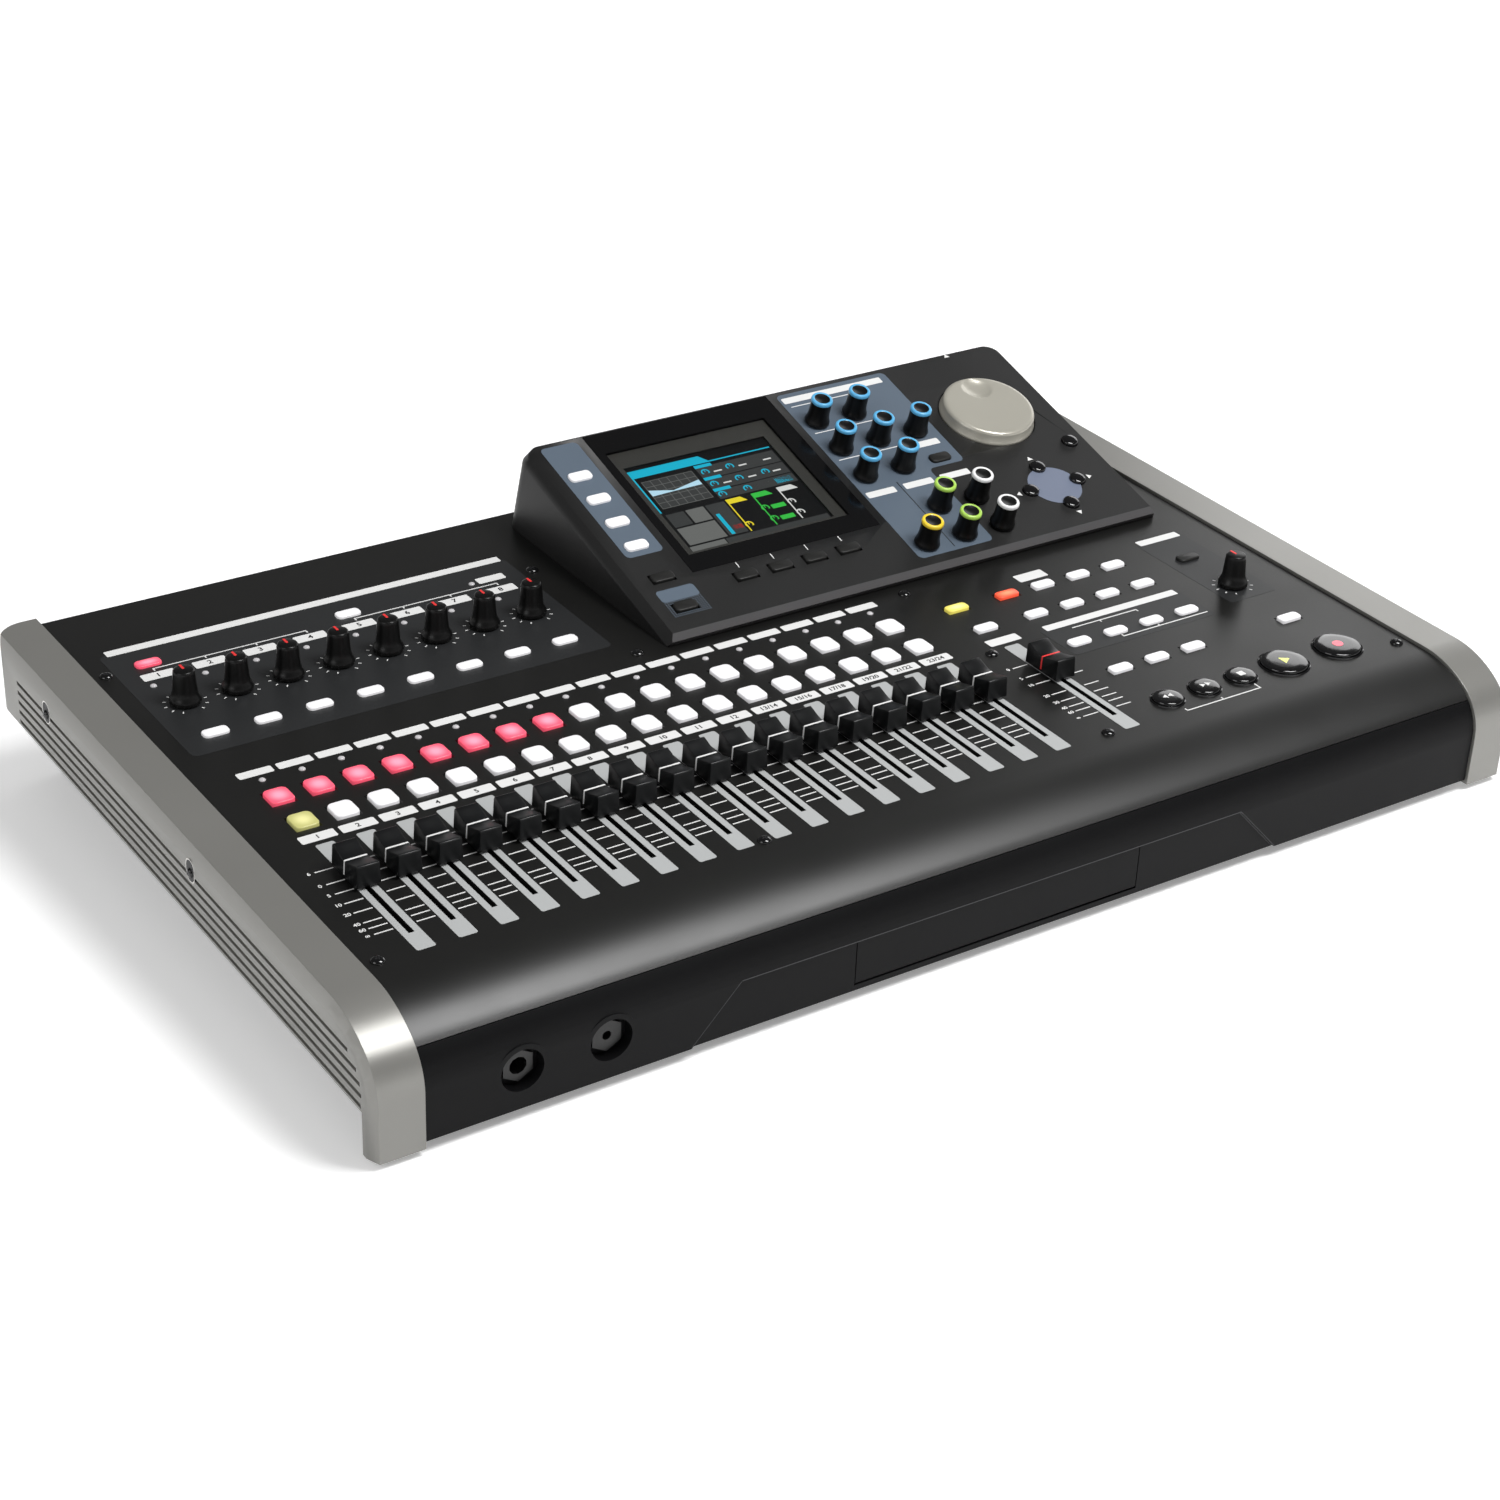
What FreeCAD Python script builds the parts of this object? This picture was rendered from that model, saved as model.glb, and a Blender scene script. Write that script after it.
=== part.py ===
import FreeCAD, Part
import math
import os
import Sketcher

# Desktop digital multitrack recorder, millimetres, +X right, +Y back, +Z up.
# The origin is on the table, under the middle of the recorder.
# Most controls stand on the sloped control panel, whose own frame is X across, V up the slope and N
# out of the surface. The line through the lower ends of the fader slots is V = 0.
# The display housing stands on the panel and slopes more, with a frame of its own: X, W and N.

os.makedirs("parts", exist_ok=True)
doc = FreeCAD.newDocument("recorder")
sheet = doc.addObject("Spreadsheet::Sheet", "sizes")

SIZES = {
    # the panel's stance and the edges of the case
    "panel_slope": 3.0,
    "panel_lift": 52.0,
    "panel_thick": 2.0,
    "nose_reach": 52.4,
    "nose_wide": 40.8,
    "nose_tight": 20.8,
    "nose_turn": 35.0,
    "seam_turn": 47.0,
    "seam_gap": 0.3,
    "side_gap": 0.4,
    "rear_margin": 6.4,
    # front fascia and what is set into it
    "fascia_thick": 2.5,
    "fascia_drop": 44.7,
    "recess_wide": 16.4,
    "recess_deep": 4.8,
    "recess_wall": 2.0,
    "recess_drop": 29.3,
    "phones_inset": 36.9,
    "jack_pitch": 34.4,
    "inset_deep": 1.0,
    "inset_top": 228.0,
    "inset_foot": 268.0,
    "inset_rise": 21.4,
    "flange_tall": 12.0,
    "flange_lap": 6.0,
    # card door and the bay behind it
    "door_wide": 129.0,
    "door_tall": 18.0,
    "door_thick": 2.0,
    "door_gap": 0.4,
    "door_floor": 2.2,
    "pin_wide": 2.0,
    "bay_deep": 12.0,
    "bay_wall": 1.5,
    "card_wide": 24.6,
    "card_thick": 2.8,
    "reader_wide": 30.0,
    "reader_tall": 7.0,
    "reader_deep": 26.0,
    # end panels
    "end_thick": 19.3,
    "end_proud": 1.2,
    "end_overhang": 3.2,
    "end_corner": 13.0,
    "bevel_side": 5.3,
    "bevel_drop": 2.2,
    "toe_drop": 46.7,
    "toe_thick": 7.8,
    "rib_top": 9.6,
    "rib_pitch": 4.3,
    "rib_wide": 1.6,
    "rib_deep": 1.5,
    "rib_count": 5,
    "rib_base": 29.6,
    # channel strips
    "strip_margin": 23.7,
    "channel_pitch": 16.0,
    "channel_count": 18,
    "slot_long": 55.2,
    "slot_wide": 2.0,
    "fader_rest": 41.0,
    "cap_long": 19.4,
    "cap_wide": 9.7,
    "cap_tall": 10.0,
    "cap_clear": 1.2,
    "cap_dip": 2.3,
    "cap_crown": 1.5,
    "cap_flat": 2.2,
    "stem_wide": 1.2,
    "stem_long": 5.0,
    "stem_gap": 0.2,
    "unit_long": 70.0,
    "unit_wide": 9.0,
    "unit_tall": 9.0,
    "unit_floor": 2.0,
    # keys with chamfered corners
    "track_key": 9.6,
    "track_key_tall": 10.4,
    "key_wide": 10.6,
    "key_tall": 5.4,
    "key_corner": 1.5,
    "key_clear": 0.3,
    "key_proud": 1.2,
    "key_under": 4.0,
    "key_travel": 0.8,
    "select_row": 83.0,
    "rec_rise": 19.8,
    # input section
    "source_row": 157.2,
    "trim_rise": 27.0,
    "phantom_rise": 62.5,
    "input_pitch": 21.6,
    "input_count": 8,
    # right hand keys
    "master_step": 33.8,
    "column_step": 26.0,
    "column_pitch": 18.9,
    "last_step": 33.0,
    "right_margin": 30.2,
    "locate_drop": 28.4,
    "punch_drop": 26.1,
    "transport_drop": 29.1,
    "play_step": 28.8,
    "monitor_key_row": 92.6,
    "monitor_knob_row": 63.5,
    "big_key": 19.5,
    "small_key": 12.6,
    "round_proud": 1.6,
    # knobs
    "knob_tall": 14.6,
    "skirt_wide": 12.6,
    "skirt_rim": 1.8,
    "skirt_tall": 4.6,
    "grip_wide": 9.4,
    "grip_taper": 3.0,
    "knob_clear": 0.6,
    "shaft_wide": 5.6,
    "shaft_hole": 6.4,
    "flute_count": 10,
    "pot_wide": 11.0,
    "encoder_tall": 13.5,
    "encoder_skirt": 11.2,
    "encoder_rim": 1.4,
    "encoder_grip": 9.6,
    # display housing
    "display_front": 132.6,
    "display_lip": 5.5,
    "display_slope": 15.5,
    "display_bevel": 2.4,
    "display_wall": 2.5,
    "display_edge": 5.0,
    "display_edge_drop": 2.5,
    "display_corner": 9.0,
    "display_right_margin": 15.7,
    "key_column": 16.0,
    "window_left": 30.0,
    "window_wide": 94.0,
    "window_low": 30.0,
    "window_top_margin": 3.0,
    "window_thick": 1.5,
    "window_clear": 0.1,
    "lcd_left": 7.0,
    "lcd_low": 12.0,
    "lcd_wide": 72.0,
    "lcd_tall": 58.5,
    "lcd_thick": 4.0,
    "lcd_border": 4.0,
    "encoder_gap": 12.0,
    "encoder_pitch": 20.0,
    "jog_gap": 39.5,
    "jog_margin": 36.5,
    "row_one": 12.0,
    "row_two_rise": 19.5,
    "row_three_rise": 28.5,
    "row_rise": 19.75,
    "row_margin": 27.0,
    "soft_row": 21.0,
    "soft_first": 50.4,
    "soft_pitch": 17.07,
    "mode_top": 99.8,
    "mode_pitch": 15.8,
    "menu_row": 31.4,
    "home_row": 12.7,
    "jog_wide": 41.6,
    "jog_tall": 5.5,
    "jog_edge": 1.2,
    "jog_row": 79.5,
    "jog_seat": 45.0,
    "jog_seat_deep": 1.0,
    "jog_clear": 0.4,
    "jog_hub": 12.0,
    "dimple_wide": 12.0,
    "dimple_deep": 1.6,
    "dimple_out": 12.6,
    "cursor_row": 26.8,
    "cursor_reach": 12.9,
    "cursor_key": 7.4,
    "jog_play_step": 26.1,
    "jog_play_row": 50.6,
    # boards
    "board_thick": 1.6,
    "board_margin": 8.0,
    "board_post_inset": 3.0,
    "main_board_lift": 6.0,
    "main_board_wide": 180.0,
    "main_board_deep": 120.0,
    "main_board_right": 130.0,
    "main_post_inset": 6.0,
    "post_wide": 6.0,
    "panel_opening": 30.0,
    # chassis, feet and the rear
    "foot_tall": 4.0,
    "foot_wide": 18.0,
    "foot_inset": 34.0,
    "chassis_thick": 1.2,
    "chassis_gap": 0.2,
    "socket_height": 33.0,
    "plate_thick": 2.0,
    "plate_margin": 15.5,
    "plate_half": 17.0,
    "combo_first": 21.0,
    "combo_pitch": 27.5,
    "combo_wide": 24.0,
    "combo_dish": 2.0,
    "combo_mouth": 20.0,
    "combo_deep": 24.0,
    "jack_bore": 6.8,
    "jack_wide": 11.0,
    "jack_nut": 13.0,
    "jack_proud": 1.5,
    "remote_bore": 3.6,
    "jack_deep": 20.0,
    "rear_jack_pitch": 20.0,
    "line_first": 244.0,
    "phono_step": 22.0,
    "phono_pitch": 15.0,
    "midi_step": 24.0,
    "midi_pitch": 22.0,
    "usb_step": 22.0,
    "inlet_step": 16.0,
    "switch_step": 34.0,
    "pair_split": 18.0,
    "phono_wide": 8.3,
    "phono_long": 9.0,
    "midi_wide": 15.0,
    "midi_proud": 1.0,
    "usb_wide": 8.4,
    "usb_tall": 3.8,
    "port_deep": 9.0,
    "inlet_wide": 9.0,
    "inlet_bore": 5.6,
    "switch_wide": 13.0,
    "switch_tall": 19.0,
    "switch_proud": 2.5,
    "switch_deep": 3.0,
    "switch_vee": 1.2,
    "switch_gap": 0.3,
    "switch_tilt": 7.0,
}

for line, (alias, value) in enumerate(SIZES.items(), start=1):
    sheet.set("A%d" % line, alias)
    sheet.set("B%d" % line, "%g" % value)
    sheet.setAlias("B%d" % line, alias)
doc.recompute()


def num(alias):
    """A size read from the sheet."""
    return float(sheet.get(alias))


class Length:
    """A length that knows its value and the sheet expression that gives it."""

    def __init__(self, value, text):
        self.value = value
        self.text = text

    @staticmethod
    def of(other):
        if isinstance(other, Length):
            return other
        return Length(float(other), "%.9g" % other)

    def _join(self, other, sign, value):
        return Length(value, "(%s %s %s)" % (self.text, sign, other.text))

    def __add__(self, other):
        other = Length.of(other)
        return self._join(other, "+", self.value + other.value)

    def __sub__(self, other):
        other = Length.of(other)
        return self._join(other, "-", self.value - other.value)

    def __mul__(self, other):
        other = Length.of(other)
        return self._join(other, "*", self.value * other.value)

    def __truediv__(self, other):
        other = Length.of(other)
        return self._join(other, "/", self.value / other.value)

    def __radd__(self, other):
        return Length.of(other) + self

    def __rsub__(self, other):
        return Length.of(other) - self

    def __rmul__(self, other):
        return Length.of(other) * self

    def __neg__(self):
        return Length(-self.value, "(0 - %s)" % self.text)


def cell(alias):
    """A size of the sheet as a length that drawings can follow."""
    return Length(num(alias), "sizes." + alias)


def sine(angle):
    return Length(math.sin(math.radians(angle.value)), "sin(%s)" % angle.text)


def cosine(angle):
    return Length(math.cos(math.radians(angle.value)), "cos(%s)" % angle.text)


def root_of(square):
    return Length(math.sqrt(square.value), "sqrt(%s)" % square.text)


# The control panel's layout, from the left inner edge to the right one.
inner_width = (
    cell("strip_margin")
    + cell("channel_pitch") * (num("channel_count") - 1)
    + cell("master_step")
    + cell("column_step")
    + cell("column_pitch") * 3
    + cell("last_step")
    + cell("right_margin")
)
inner_half = inner_width / 2
first_strip = cell("strip_margin") - inner_half
master_x = first_strip + cell("channel_pitch") * (num("channel_count") - 1) + cell("master_step")
column_x = master_x + cell("column_step")
last_x = column_x + cell("column_pitch") * 3 + cell("last_step")
rec_row = cell("select_row") + cell("rec_rise")
locate_row = cell("select_row") - cell("locate_drop")
punch_row = locate_row - cell("punch_drop")
transport_row = punch_row - cell("transport_drop")
trim_row = cell("source_row") + cell("trim_rise")
phantom_row = cell("source_row") + cell("phantom_rise")

# The display housing's outline on its own slope, and its foot on the panel.
display_width = (
    cell("window_left") + cell("window_wide") + cell("encoder_gap")
    + cell("encoder_pitch") * 2 + cell("jog_gap") + cell("jog_margin")
)
display_right = inner_half - cell("display_right_margin")
display_left = display_right - display_width
row_two = cell("row_one") + cell("row_two_rise")
row_three = row_two + cell("row_three_rise")
display_depth = row_three + cell("row_rise") * 2 + cell("row_margin")
tilt_sine = sine(cell("display_slope"))
tilt_cosine = cosine(cell("display_slope"))
crest_v = cell("display_front") + display_depth * tilt_cosine
crest_n = cell("display_lip") + display_depth * tilt_sine
foot_v = crest_v + crest_n * tilt_sine / tilt_cosine
panel_rear = foot_v + cell("rear_margin")

# The rolled nose is two tangent arcs. The end panels repeat it, standing proud by one step.
turn_sine = sine(cell("nose_turn"))
turn_cosine = cosine(cell("nose_turn"))
nose_start = cell("nose_tight") - cell("nose_reach") + (cell("nose_wide") - cell("nose_tight")) * turn_sine
tight_v = cell("nose_tight") - cell("nose_reach")
tight_n = (cell("nose_wide") - cell("nose_tight")) * turn_cosine - cell("nose_wide")

# The recorder stands with its middle over the origin: its front is the nose of the end panels and
# its rear is the tip of the coaxial sockets.
level_sine = sine(cell("panel_slope"))
level_cosine = cosine(cell("panel_slope"))
wall_length = panel_rear * level_cosine
front_length = tight_v * level_cosine - tight_n * level_sine - cell("nose_tight") - cell("end_proud")
middle_y = -(front_length + wall_length + cell("phono_long")) / 2
panel_y = middle_y.value
rear_wall = (wall_length + middle_y).value

ACROSS = FreeCAD.Vector(1, 0, 0)
KEY_SIDES = 8
ROUND_SIDES = 20
NUT_SIDES = 6
WHEEL_SIDES = 48
panel_frame = FreeCAD.Placement(
    FreeCAD.Vector(0, panel_y, num("panel_lift")),
    FreeCAD.Rotation(ACROSS, num("panel_slope")),
)
display_in_panel = FreeCAD.Placement(
    FreeCAD.Vector(display_left.value, num("display_front"), num("display_lip")),
    FreeCAD.Rotation(ACROSS, num("display_slope")),
)
display_frame = panel_frame * display_in_panel
level = FreeCAD.Placement()

nodes = []


def keep(item, label, frame):
    """Names a finished sub-part and stands it in its frame."""
    item.Label = label
    item.Placement = frame
    nodes.append(item)
    return item


def group(label, shapes, frame):
    """Several like pieces that share one node."""
    item = doc.addObject("Part::Feature", label)
    item.Shape = Part.makeCompound(shapes)
    return keep(item, label, frame)


def new_body(name):
    return doc.addObject("PartDesign::Body", name)


def origin_plane(body, role):
    for item in body.Origin.OriginFeatures:
        if item.Role == role:
            return item
    raise ValueError(role)


def drawing(body, role, name, lift=None):
    """An empty sketch on one of the body's own planes, lifted off it when asked."""
    sketch = body.newObject("Sketcher::SketchObject", name)
    sketch.AttachmentSupport = [(origin_plane(body, role), "")]
    sketch.MapMode = "FlatFace"
    if lift is not None:
        sketch.AttachmentOffset = FreeCAD.Placement(FreeCAD.Vector(0, 0, lift.value), FreeCAD.Rotation())
        sketch.setExpression("AttachmentOffset.Base.z", lift.text)
    return sketch


def bind(sketch, index, length):
    if "sizes." in length.text:
        sketch.setExpression("Constraints[%d]" % index, length.text)


def pin_point(sketch, geometry, corner, x, y):
    """Fixes one end of a line by its two coordinates."""
    for kind, length in (("DistanceX", x), ("DistanceY", y)):
        index = sketch.addConstraint(
            Sketcher.Constraint(kind, -1, 1, geometry, corner, length.value)
        )
        bind(sketch, index, length)


def arc_through(start, end, radius, side):
    """The arc of a radius from start to end whose centre lies on one side of the chord."""
    middle = (start + end) * 0.5
    chord = end - start
    reach = math.sqrt(max(radius ** 2 - (chord.Length / 2) ** 2, 0.0))
    across = FreeCAD.Vector(-chord.y, chord.x, 0).normalize()
    centre = middle + across * (reach * side)
    outward = (middle - centre).normalize() if reach > 1e-9 else across * -side
    return Part.Arc(start, centre + outward * radius, end)


def outline(sketch, steps):
    """A closed outline. Each step is (x, y) for a straight run to that point, or (x, y, radius,
    side) for an arc to it, with side 1 when the arc's centre is to the left of the way there."""
    steps = [tuple(Length.of(part) for part in step[:3]) + tuple(step[3:]) for step in steps]
    points = [FreeCAD.Vector(step[0].value, step[1].value, 0) for step in steps]
    count = len(steps)
    for index, step in enumerate(steps):
        start = points[index - 1]
        end = points[index]
        if len(step) == 2:
            sketch.addGeometry(Part.LineSegment(start, end), False)
        else:
            sketch.addGeometry(arc_through(start, end, step[2].value, step[3]), False)
    ends = []
    for index, step in enumerate(steps):
        # an arc is stored counter-clockwise, so its first end is where the outline turns left
        turned = len(step) == 4 and step[3] < 0
        ends.append((2, 1) if turned else (1, 2))
    for index, step in enumerate(steps):
        following = (index + 1) % count
        sketch.addConstraint(
            Sketcher.Constraint("Coincident", index, ends[index][1], following, ends[following][0])
        )
        pin_point(sketch, index, ends[index][1], step[0], step[1])
        if len(step) == 4:
            radius = sketch.addConstraint(Sketcher.Constraint("Radius", index, step[2].value))
            bind(sketch, radius, step[2])


def pad(body, sketch, name, length, midplane=False, backwards=False):
    item = body.newObject("PartDesign::Pad", name)
    item.Profile = sketch
    item.Length = length.value
    if "sizes." in length.text:
        item.setExpression("Length", length.text)
    item.Midplane = midplane
    item.Reversed = backwards
    return item


def pocket(body, sketch, name, length, midplane=False, backwards=False):
    """A cut that has to take something away."""
    doc.recompute()
    before = body.Shape.Volume
    item = body.newObject("PartDesign::Pocket", name)
    item.Profile = sketch
    item.Length = length.value
    if "sizes." in length.text:
        item.setExpression("Length", length.text)
    item.Midplane = midplane
    item.Reversed = backwards
    doc.recompute()
    if not body.Shape.Volume < before - 0.01:
        raise ValueError(name + " cuts nothing")
    return item


def box(x, y, z, wide, deep, tall):
    """A box centred in X and Y on a point, standing on z."""
    return Part.makeBox(wide, deep, tall, FreeCAD.Vector(x - wide / 2, y - deep / 2, z))


def key_block(x, y, low, high, wide, tall, corner):
    """A key with its four corners cut."""
    half = wide / 2
    rise = tall / 2
    plan = [
        (half - corner, -rise), (half, corner - rise), (half, rise - corner), (half - corner, rise),
        (corner - half, rise), (-half, rise - corner), (-half, corner - rise), (corner - half, -rise),
    ]
    ring = [FreeCAD.Vector(x + px, y + py, low) for px, py in plan]
    face = Part.Face(Part.makePolygon(ring + ring[:1]))
    return face.extrude(FreeCAD.Vector(0, 0, high - low))


# Where everything on the panel stands, in the panel's frame.
channel_xs = [
    first_strip.value + num("channel_pitch") * index for index in range(int(num("channel_count")))
]
fader_xs = channel_xs + [master_x.value]
input_xs = [first_strip.value + num("input_pitch") * index for index in range(int(num("input_count")))]
column_xs = [column_x.value + num("column_pitch") * index for index in range(4)]
track_key_spots = [(x, row) for row in (rec_row.value, num("select_row")) for x in channel_xs]
source_spots = [(x, num("source_row")) for x in input_xs]
# each phantom key serves one half of the inputs and stands over the first of its half
phantom_spots = [(input_xs[0], phantom_row.value), (input_xs[len(input_xs) // 2], phantom_row.value)]
edit_spots = [(x, row) for row in (rec_row.value, num("select_row")) for x in [master_x.value] + column_xs]
locate_spots = [(x, locate_row.value) for x in column_xs]
punch_spots = [(x, punch_row.value) for x in column_xs[:3]] + [(last_x.value, punch_row.value)]
monitor_spot = (last_x.value, num("monitor_key_row"))
panel_key_spots = source_spots + phantom_spots + edit_spots + locate_spots + punch_spots + [monitor_spot]
small_spots = [(x, transport_row.value) for x in column_xs[:3]]
big_spots = [(last_x.value - num("play_step"), transport_row.value), (last_x.value, transport_row.value)]
knob_spots = [(x, trim_row.value) for x in input_xs] + [(last_x.value, num("monitor_knob_row"))]

# Where everything on the display housing stands, in the housing's frame, from its left edge.
encoder_first = num("window_left") + num("window_wide") + num("encoder_gap")
encoder_xs = [encoder_first + num("encoder_pitch") * index for index in range(3)]
jog_x = encoder_xs[2] + num("jog_gap")
row_ws = [
    num("row_one"), row_two.value, row_three.value,
    row_three.value + num("row_rise"), row_three.value + num("row_rise") * 2,
]
encoder_spots = [
    (encoder_xs[0], row_ws[4]), (encoder_xs[1], row_ws[4]),
    (encoder_xs[0], row_ws[3]), (encoder_xs[1], row_ws[3]), (encoder_xs[2], row_ws[3]),
    (encoder_xs[0], row_ws[2]), (encoder_xs[1], row_ws[2]),
    (encoder_xs[1], row_ws[1]), (encoder_xs[2], row_ws[1]),
    (encoder_xs[0], row_ws[0]), (encoder_xs[1], row_ws[0]), (encoder_xs[2], row_ws[0]),
]
screen_key_spots = (
    [(num("key_column"), num("mode_top") - num("mode_pitch") * index) for index in range(4)]
    + [(num("key_column"), num("menu_row")), (num("key_column"), num("home_row"))]
    + [(num("soft_first") + num("soft_pitch") * index, num("soft_row")) for index in range(4)]
    + [(encoder_xs[2], row_ws[2])]
)
jog_length = (
    cell("window_left") + cell("window_wide") + cell("encoder_gap") + cell("encoder_pitch") * 2
    + cell("jog_gap")
)
cursor_spots = [
    (jog_x + num("cursor_reach") * side, num("cursor_row") + num("cursor_reach") * rise)
    for side, rise in ((0, 1), (1, 0), (0, -1), (-1, 0))
] + [(jog_x + num("jog_play_step"), num("jog_play_row"))]

# Along the rear, from the left inner edge, and along the front.
board_top = num("key_under") + num("key_travel")
phones_x = num("phones_inset") - inner_half.value
remote_x = phones_x + num("jack_pitch")
combo_xs = [
    num("combo_first") - inner_half.value + num("combo_pitch") * index for index in range(len(input_xs))
]
line_first = num("line_first") - inner_half.value
line_xs = [line_first, line_first + num("rear_jack_pitch")]
phono_xs = [line_xs[1] + num("phono_step"), line_xs[1] + num("phono_step") + num("phono_pitch")]
midi_xs = [phono_xs[1] + num("midi_step"), phono_xs[1] + num("midi_step") + num("midi_pitch")]
usb_x = midi_xs[1] + num("usb_step")
inlet_x = usb_x + num("inlet_step")
switch_x = inlet_x + num("switch_step")
combo_left = cell("combo_first") - cell("plate_margin") - inner_half
combo_right = combo_left + cell("combo_pitch") * (len(input_xs) - 1) + cell("plate_margin") * 2
socket_low = cell("socket_height") - cell("plate_half")
socket_high = cell("socket_height") + cell("plate_half")
line_left = cell("line_first") - cell("plate_margin") + cell("switch_gap") - inner_half
line_right = line_left + (
    cell("rear_jack_pitch") + cell("phono_step") + cell("phono_pitch") + cell("midi_step")
    + cell("midi_pitch") + cell("usb_step") + cell("inlet_step") + cell("plate_margin") * 2
)
switch_middle = line_right - cell("plate_margin") + cell("switch_step")
switch_half = cell("switch_wide") / 2 + cell("switch_gap")
switch_reach = cell("switch_tall") / 2 + cell("switch_gap") * 2
rear_windows = [
    (combo_left, combo_right, socket_low, socket_high),
    (line_left, line_right, socket_low, socket_high),
    (switch_middle - switch_half, switch_middle + switch_half,
     cell("socket_height") - switch_reach, cell("socket_height") + switch_reach),
]


def build_panel():
    """The black control panel: one sheet rolled down at the front, with every slot and hole."""
    body = new_body("panel_sheet")
    thick = cell("panel_thick")
    seam = cell("seam_turn")
    tight = cell("nose_tight")
    wide = cell("nose_wide")
    bend_v = nose_start - wide * turn_sine
    bend_n = wide * turn_cosine - wide
    profile = drawing(body, "YZ_Plane", "panel_profile")
    outline(profile, [
        (panel_rear, Length.of(0)),
        (nose_start, Length.of(0)),
        (bend_v, bend_n, wide, 1),
        (tight_v - tight * sine(seam), tight_n + tight * cosine(seam), tight, 1),
        (tight_v - (tight - thick) * sine(seam), tight_n + (tight - thick) * cosine(seam)),
        (nose_start - (wide - thick) * turn_sine, (wide - thick) * turn_cosine - wide, tight - thick, -1),
        (nose_start, -thick, wide - thick, -1),
        (panel_rear, -thick),
    ])
    pad(body, profile, "panel_roll", inner_width - cell("side_gap") * 2, midplane=True)
    below = -2 * thick.value
    above = thick.value
    clear = 2 * num("key_clear")
    tools = []
    for x in fader_xs:
        tools.append(Part.makeBox(
            num("slot_wide"), num("slot_long"), above - below,
            FreeCAD.Vector(x - num("slot_wide") / 2, 0, below),
        ))
    for x, v in track_key_spots:
        tools.append(box(x, v, below, num("track_key") + clear, num("track_key_tall") + clear, above - below))
    for x, v in panel_key_spots:
        tools.append(box(x, v, below, num("key_wide") + clear, num("key_tall") + clear, above - below))
    for wide_key, spots in ((num("big_key"), big_spots), (num("small_key"), small_spots)):
        for x, v in spots:
            tools.append(prism(x, v, below, above, wide_key + clear, ROUND_SIDES))
    for x, v in knob_spots:
        tools.append(prism(x, v, below, above, num("shaft_hole"), KEY_SIDES))
    # the wiring of the display housing comes up through a long opening under it
    opening = num("panel_opening")
    tools.append(Part.makeBox(
        display_width.value - 2 * opening, foot_v.value - num("display_front") - 2 * opening, above - below,
        FreeCAD.Vector(display_left.value + opening, num("display_front") + opening, below),
    ))
    cutter = doc.addObject("Part::Feature", "panel_cutouts")
    cutter.Shape = Part.makeCompound(tools)
    cut = doc.addObject("Part::Cut", "panel_cut")
    cut.Base = body
    cut.Tool = cutter
    keep(cut, "top_panel", panel_frame)


def build_fascia():
    """The front fascia hangs from the nose seam, with the jack recesses, and holds the card frame."""
    body = new_body("fascia_body")
    thick = cell("fascia_thick")
    tight = cell("nose_tight")
    drop = cell("fascia_drop")
    face = cell("nose_reach")
    seam = cell("seam_turn") + cell("seam_gap") / tight * 57.2958
    width = inner_width - cell("side_gap") * 2
    profile = drawing(body, "YZ_Plane", "fascia_profile")
    outline(profile, [
        (tight_v - tight * sine(seam), tight_n + tight * cosine(seam)),
        (-face, tight_n, tight, 1),
        (-face, -drop),
        (thick - face, -drop),
        (thick - face, tight_n),
        (tight_v - (tight - thick) * sine(seam), tight_n + (tight - thick) * cosine(seam), tight - thick, -1),
    ])
    pad(body, profile, "fascia_roll", width, midplane=True)

    # the opening with slanted ends, open at the foot, that the card frame fills
    inset = drawing(body, "XZ_Plane", "inset_outline", lift=face)
    foot = cell("inset_foot") / 2
    top = cell("inset_top") / 2
    over = cell("inset_deep")
    high = cell("inset_rise") - drop
    outline(inset, [
        (foot, -drop - over), (foot, -drop), (top, high), (-top, high), (-foot, -drop), (-foot, -drop - over),
    ])
    pocket(body, inset, "inset", thick * 2)

    # cups behind the two jack recesses, then the recesses and the holes for the jacks
    back = drawing(body, "XZ_Plane", "recess_cups", lift=face)
    spots = [cell("phones_inset") - inner_half, cell("phones_inset") + cell("jack_pitch") - inner_half]
    for x in spots:
        ring(back, x, -cell("recess_drop"), cell("recess_wide") + cell("recess_wall") * 2)
    pad(body, back, "cups", cell("recess_deep") + cell("recess_wall"), backwards=True)
    dish = drawing(body, "XZ_Plane", "recess_circles", lift=face)
    for x in spots:
        ring(dish, x, -cell("recess_drop"), cell("recess_wide"))
    pocket(body, dish, "recesses", cell("recess_deep"))
    holes = drawing(body, "XZ_Plane", "jack_holes", lift=face)
    for x in spots:
        ring(holes, x, -cell("recess_drop"), cell("jack_wide") + cell("key_clear") * 2)
    pocket(body, holes, "jack_cuts", cell("recess_deep") + cell("recess_wall") * 2)

    group = doc.addObject("Part::Compound", "fascia_group")
    group.Links = [body, build_card_frame(), build_card_tray()]
    keep(group, "front_fascia", panel_frame)


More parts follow.
